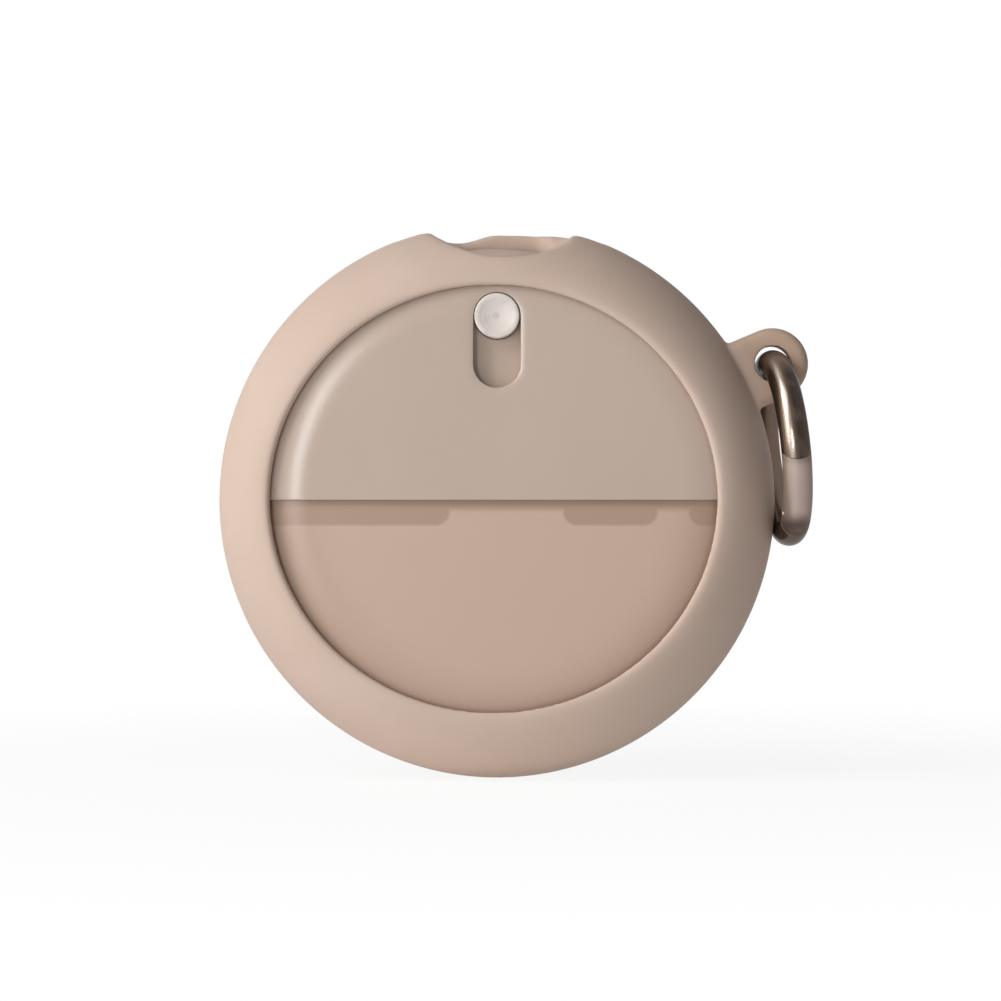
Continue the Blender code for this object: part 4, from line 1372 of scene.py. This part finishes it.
@dataclass
class CarryRing:
    """The plated ring with its hinged gate, made truly round."""

    former: Former
    pivot: Vector
    hinge: Vector
    across: Vector
    radius: float = 0.0145
    wire: float = 0.0025
    tip_turn: float = 40.0
    gap: float = 0.0003
    seam: float = 0.00005
    skin: float = 0.00025
    longest: float = 0.0005

    def centre(self) -> Vector:
        """Returns the ring's centre, which lies as far from its pivot as from its hinge."""
        chord = self.hinge - self.pivot
        square = self.across.cross(chord).normalized()
        depth = math.sqrt(self.radius**2 - (chord.length / 2) ** 2)
        sides = [(self.pivot + self.hinge) / 2 + square * depth * side for side in (-1, 1)]
        return min(sides, key=lambda place: place.z)

    def core(self, place: Vector) -> Vector:
        """Finds the middle of the wire.

        Args:
            place: A point near the wire.

        Returns:
            The nearest point on the middle of the wire.
        """
        away = place - self.centre()
        flat = away - self.across * away.dot(self.across)
        return self.centre() + flat.normalized() * self.radius

    def close_seam(self, bm: bmesh.types.BMesh) -> None:
        """Brings the wire's cut end up to the tip of the closed gate.

        Args:
            bm: The bent wire.
        """
        outer, turn = self.radius + self.wire, math.radians(self.tip_turn)
        reach = math.sqrt(
            outer**2 + self.radius**2 - 2 * outer * self.radius * math.cos(turn)
        )
        for vert in bm.verts:
            away = vert.co - self.hinge
            along = self.across * away.dot(self.across)
            spoke = away - along
            if abs(spoke.length - reach - self.gap) < self.seam:
                vert.co = self.hinge + along + spoke.normalized() * (reach + self.seam)

    def true_up(self, bm: bmesh.types.BMesh) -> None:
        """Divides a faceted stretch of the ring and lays its skin on the true round wire.

        Args:
            bm: The stretch.
        """
        bmesh.ops.triangulate(bm, faces=bm.faces[:])
        bm.normal_update()
        for face in bm.faces:
            middle = face.calc_center_median()
            out = (middle - self.core(middle)).normalized()
            gaps = [abs((v.co - self.core(v.co)).length - self.wire) for v in face.verts]
            face.material_index = int(max(gaps) < self.skin and face.normal.dot(out) > 0.9)
        for _ in range(4):
            long = [edge for edge in bm.edges if edge.calc_length() > self.longest]
            bmesh.ops.subdivide_edges(bm, edges=long, cuts=1, use_grid_fill=False)
            bmesh.ops.triangulate(bm, faces=bm.faces[:])
        for vert in {vert for face in bm.faces if face.material_index for vert in face.verts}:
            core = self.core(vert.co)
            vert.co = core + (vert.co - core).normalized() * self.wire
        for face in bm.faces:
            face.material_index = 0
        bm.normal_update()

    def build(self, ring: Finish, latch: Finish, pin: Finish, steel: Finish) -> None:
        """Builds and dresses the ring.

        Args:
            ring: The bent wire's finish.
            latch: The gate's finish.
            pin: The pin's finish.
            steel: The spring's finish.
        """
        for name, body, finish, slot in (
            ("ring_body", Body.RING, ring, Slot.RING),
            ("ring_gate", Body.LATCH, latch, Slot.LATCH),
        ):
            bm = self.former.opened(name)
            if body is Body.RING:
                self.close_seam(bm)
            self.true_up(bm)
            self.former.place(f"{name}_round", bm, body, finish, slot, [name], firm=False)
        self.former.carry("gate_pin", Body.RING, pin, Slot.STEEL)
        self.former.carry("gate_spring", Body.LATCH, steel, Slot.STEEL)


@dataclass
class Studio:
    """A pale softly glowing floor, light from the left and the camera, straight in front."""

    distance: float = 0.5315
    lens: float = 107.89
    shift_x: float = 0.0035
    shift_y: float = -0.0005
    floor_z: float = -0.0482
    fill: float = 0.1
    glow: float = 0.21

    def camera(self) -> None:
        """Adds the camera."""
        data = bpy.data.cameras.new("camera")
        data.lens = self.lens
        data.sensor_width = 36.0
        data.shift_x = self.shift_x
        data.shift_y = self.shift_y
        data.clip_start = 0.01
        camera = bpy.data.objects.new("camera", data)
        camera.location = (0.0, -self.distance, 0.0)
        camera.rotation_euler = (math.pi / 2, 0.0, 0.0)
        bpy.context.scene.collection.objects.link(camera)
        bpy.context.scene.camera = camera

    def lamp(
        self,
        name: str,
        bearing: float,
        rise: float,
        away: float,
        size: tuple[float, float],
        glow: float,
    ) -> None:
        """Adds a soft lamp that faces the case.

        Args:
            name: Its name.
            bearing: Degrees to the left of straight in front.
            rise: Degrees above the level.
            away: How far off it stands.
            size: Its width and height.
            glow: How bright its face is, where a white surround is 1.
        """
        turn, lift = math.radians(bearing), math.radians(rise)
        level = math.cos(lift)
        place = Vector((-math.sin(turn) * level, -math.cos(turn) * level, math.sin(lift))) * away
        data = bpy.data.lights.new(name, "AREA")
        data.shape = "RECTANGLE"
        data.size, data.size_y = size
        data.energy = glow * math.pi * size[0] * size[1]
        lamp = bpy.data.objects.new(name, data)
        lamp.location = place
        lamp.rotation_euler = place.to_track_quat("Z", "Y").to_euler()
        bpy.context.scene.collection.objects.link(lamp)

    def surround(self) -> None:
        """Adds the surround: white to sight, dimmer as light on the case."""
        world = bpy.data.worlds.new("surround")
        bpy.context.scene.world = world
        world.use_nodes = True
        tree = Tree(world.node_tree)
        dim = world.node_tree.nodes["Background"]
        tree.feed(dim.inputs["Color"], (1.0, 0.97, 0.95))
        tree.feed(dim.inputs["Strength"], self.fill)
        tree.white_to_sight(dim.outputs[0])

    def floor(self) -> None:
        """Adds the floor."""
        bm = bmesh.new()
        bmesh.ops.create_grid(bm, x_segments=1, y_segments=1, size=4.0)
        mesh = bpy.data.meshes.new("floor")
        bm.to_mesh(mesh)
        bm.free()
        floor = bpy.data.objects.new("floor", mesh)
        floor.location.z = self.floor_z
        bpy.context.scene.collection.objects.link(floor)
        look = Look("floor_white")
        # The floor glows at the glow strength to every ray. This is light that brightens the case
        # from below, like bounce off a white table.
        look.finish(
            Base_Color=(0.8, 0.8, 0.8),
            Roughness=0.9,
            Specular_IOR_Level=0.1,
            Emission_Color=(1.0, 1.0, 1.0),
            Emission_Strength=self.glow,
        )
        x, y, _ = look.axes()
        far = ((x * x + y * y) ** 0.5).step(0.05, 0.22)
        look.white_to_sight(look.shader.outputs[0], 0.87 + 0.13 * far)
        mesh.materials.append(look.material)

    def build(self) -> None:
        """Sets up the camera, the lamps, the surround and the floor."""
        self.camera()
        self.surround()
        self.floor()
        self.lamp("key", 60.0, 14.0, 0.8, (0.45, 1.0), 3.0)
        self.lamp("glint", 56.0, 14.0, 0.8, (0.04, 1.0), 11.0)
        self.lamp("sheen", 19.0, 4.0, 0.8, (0.12, 0.32), 12.0)
        self.lamp("upper", 50.0, 50.0, 0.8, (0.5, 0.5), 2.2)
        bpy.context.scene.view_settings.view_transform = "Standard"
        log.info("studio: camera, four lamps, surround and floor")


def joint_place(frame: Mapping[str, object], name: str) -> tuple[Vector, Vector]:
    """Looks up a joint.

    Args:
        frame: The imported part.
        name: The joint.

    Returns:
        A point on its axis, and the axis.
    """
    joint = next(joint for joint in frame["joints"] if joint["name"] == name)
    return Vector(joint["pos_m"]), Vector(joint["axis"]).normalized()


def main() -> None:
    """Dresses the case and sets up the studio around it."""
    logging.basicConfig(level=logging.INFO, format="%(name)s %(message)s")
    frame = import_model()
    former = Former(frame["nodes"])
    Studio().build()

    rubber = SoftRubber("sleeve_rubber", paint(200, 178, 163), paint(205, 184, 170), 0.62)
    cover = CoverPlastic(
        "cover_taupe", paint(187, 168, 154), paint(191, 172, 158), 0.2, scuffs=0.015
    )
    shell = Moulded("shell_taupe", paint(182, 162, 149), paint(186, 166, 153), 0.45)
    pane = TintedWindow(
        "window_tint", paint(206, 180, 163), paint(184, 156, 137), paint(162, 134, 114), 0.15, 0.3
    )
    plastic = Moulded(
        "slider_plastic", paint(192, 169, 154), paint(186, 163, 148), 0.65, shine=0.0
    )
    seal = SoftRubber("seal_rubber", paint(172, 150, 136), paint(178, 156, 142), 0.75, shine=0.0)
    low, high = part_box("slide_button")
    height = (low.z + high.z) / 2
    floor = SlotFloor("slot_floor", paint(182, 163, 148), paint(185, 166, 151), 0.5, height=height)
    pearl = Pearl("button_pearl", paint(218, 208, 201), paint(188, 181, 178), 0.42, height)
    steel = Plated("spring_steel", paint(190, 190, 192), paint(170, 168, 166), 0.28)

    Sleeve(former).build(rubber)
    Shells(former).build(cover, pane, shell, seal)
    SlideGate(former).build(pearl, floor, plastic, seal, steel)
    Rails(former).build(plastic, steel)
    pivot, _ = joint_place(frame, "ring_swing")
    hinge, across = joint_place(frame, "ring_gate_hinge")
    if across.x < 0:
        across = -across
    ring = CarryRing(former, pivot, hinge, across)
    centre = ring.centre()
    nickel = PaintedHighlightPlate(
        "ring_nickel",
        paint(72, 59, 47),
        paint(104, 88, 76),
        0.22,
        coat=0.4,
        centre=tuple(centre),
        across=tuple(across),
        # Painted highlight stripe near 0.27 and painted shade from 0.42 on.
        stops=(
            (0.0, paint(104, 87, 74)),
            (0.19, paint(110, 94, 80)),
            (0.27, paint(196, 182, 170)),
            (0.33, paint(150, 134, 121)),
            (0.42, paint(84, 69, 57)),
            (0.56, paint(46, 33, 25)),
            (0.8, paint(56, 42, 34)),
            (1.0, paint(78, 62, 50)),
        ),
        dull=paint(106, 87, 74),
        rear=(centre.y - 0.001, centre.y + 0.003),
    )
    satin = PaintedHighlightPlate(
        "gate_satin",
        paint(160, 142, 133),
        paint(166, 148, 139),
        0.36,
        metal=0.6,
        film=0.4,
        coat=0.3,
        centre=tuple(centre),
        across=tuple(across),
        # Painted highlight near 0.3 and painted shade towards 1.0, as on a satin wire lit from the
        # left.
        stops=(
            (0.0, paint(160, 142, 130)),
            (0.3, paint(184, 166, 156)),
            (0.6, paint(168, 150, 141)),
            (0.85, paint(138, 119, 111)),
            (1.0, paint(128, 109, 102)),
        ),
        dull=paint(92, 75, 66),
        top=(0.0052, 0.0082),
    )
    pin = Plated("pin_steel", paint(98, 80, 70), paint(110, 92, 81), 0.6, metal=0.5)
    ring.build(nickel, satin, pin, steel)


if __name__ == "__main__":
    main()
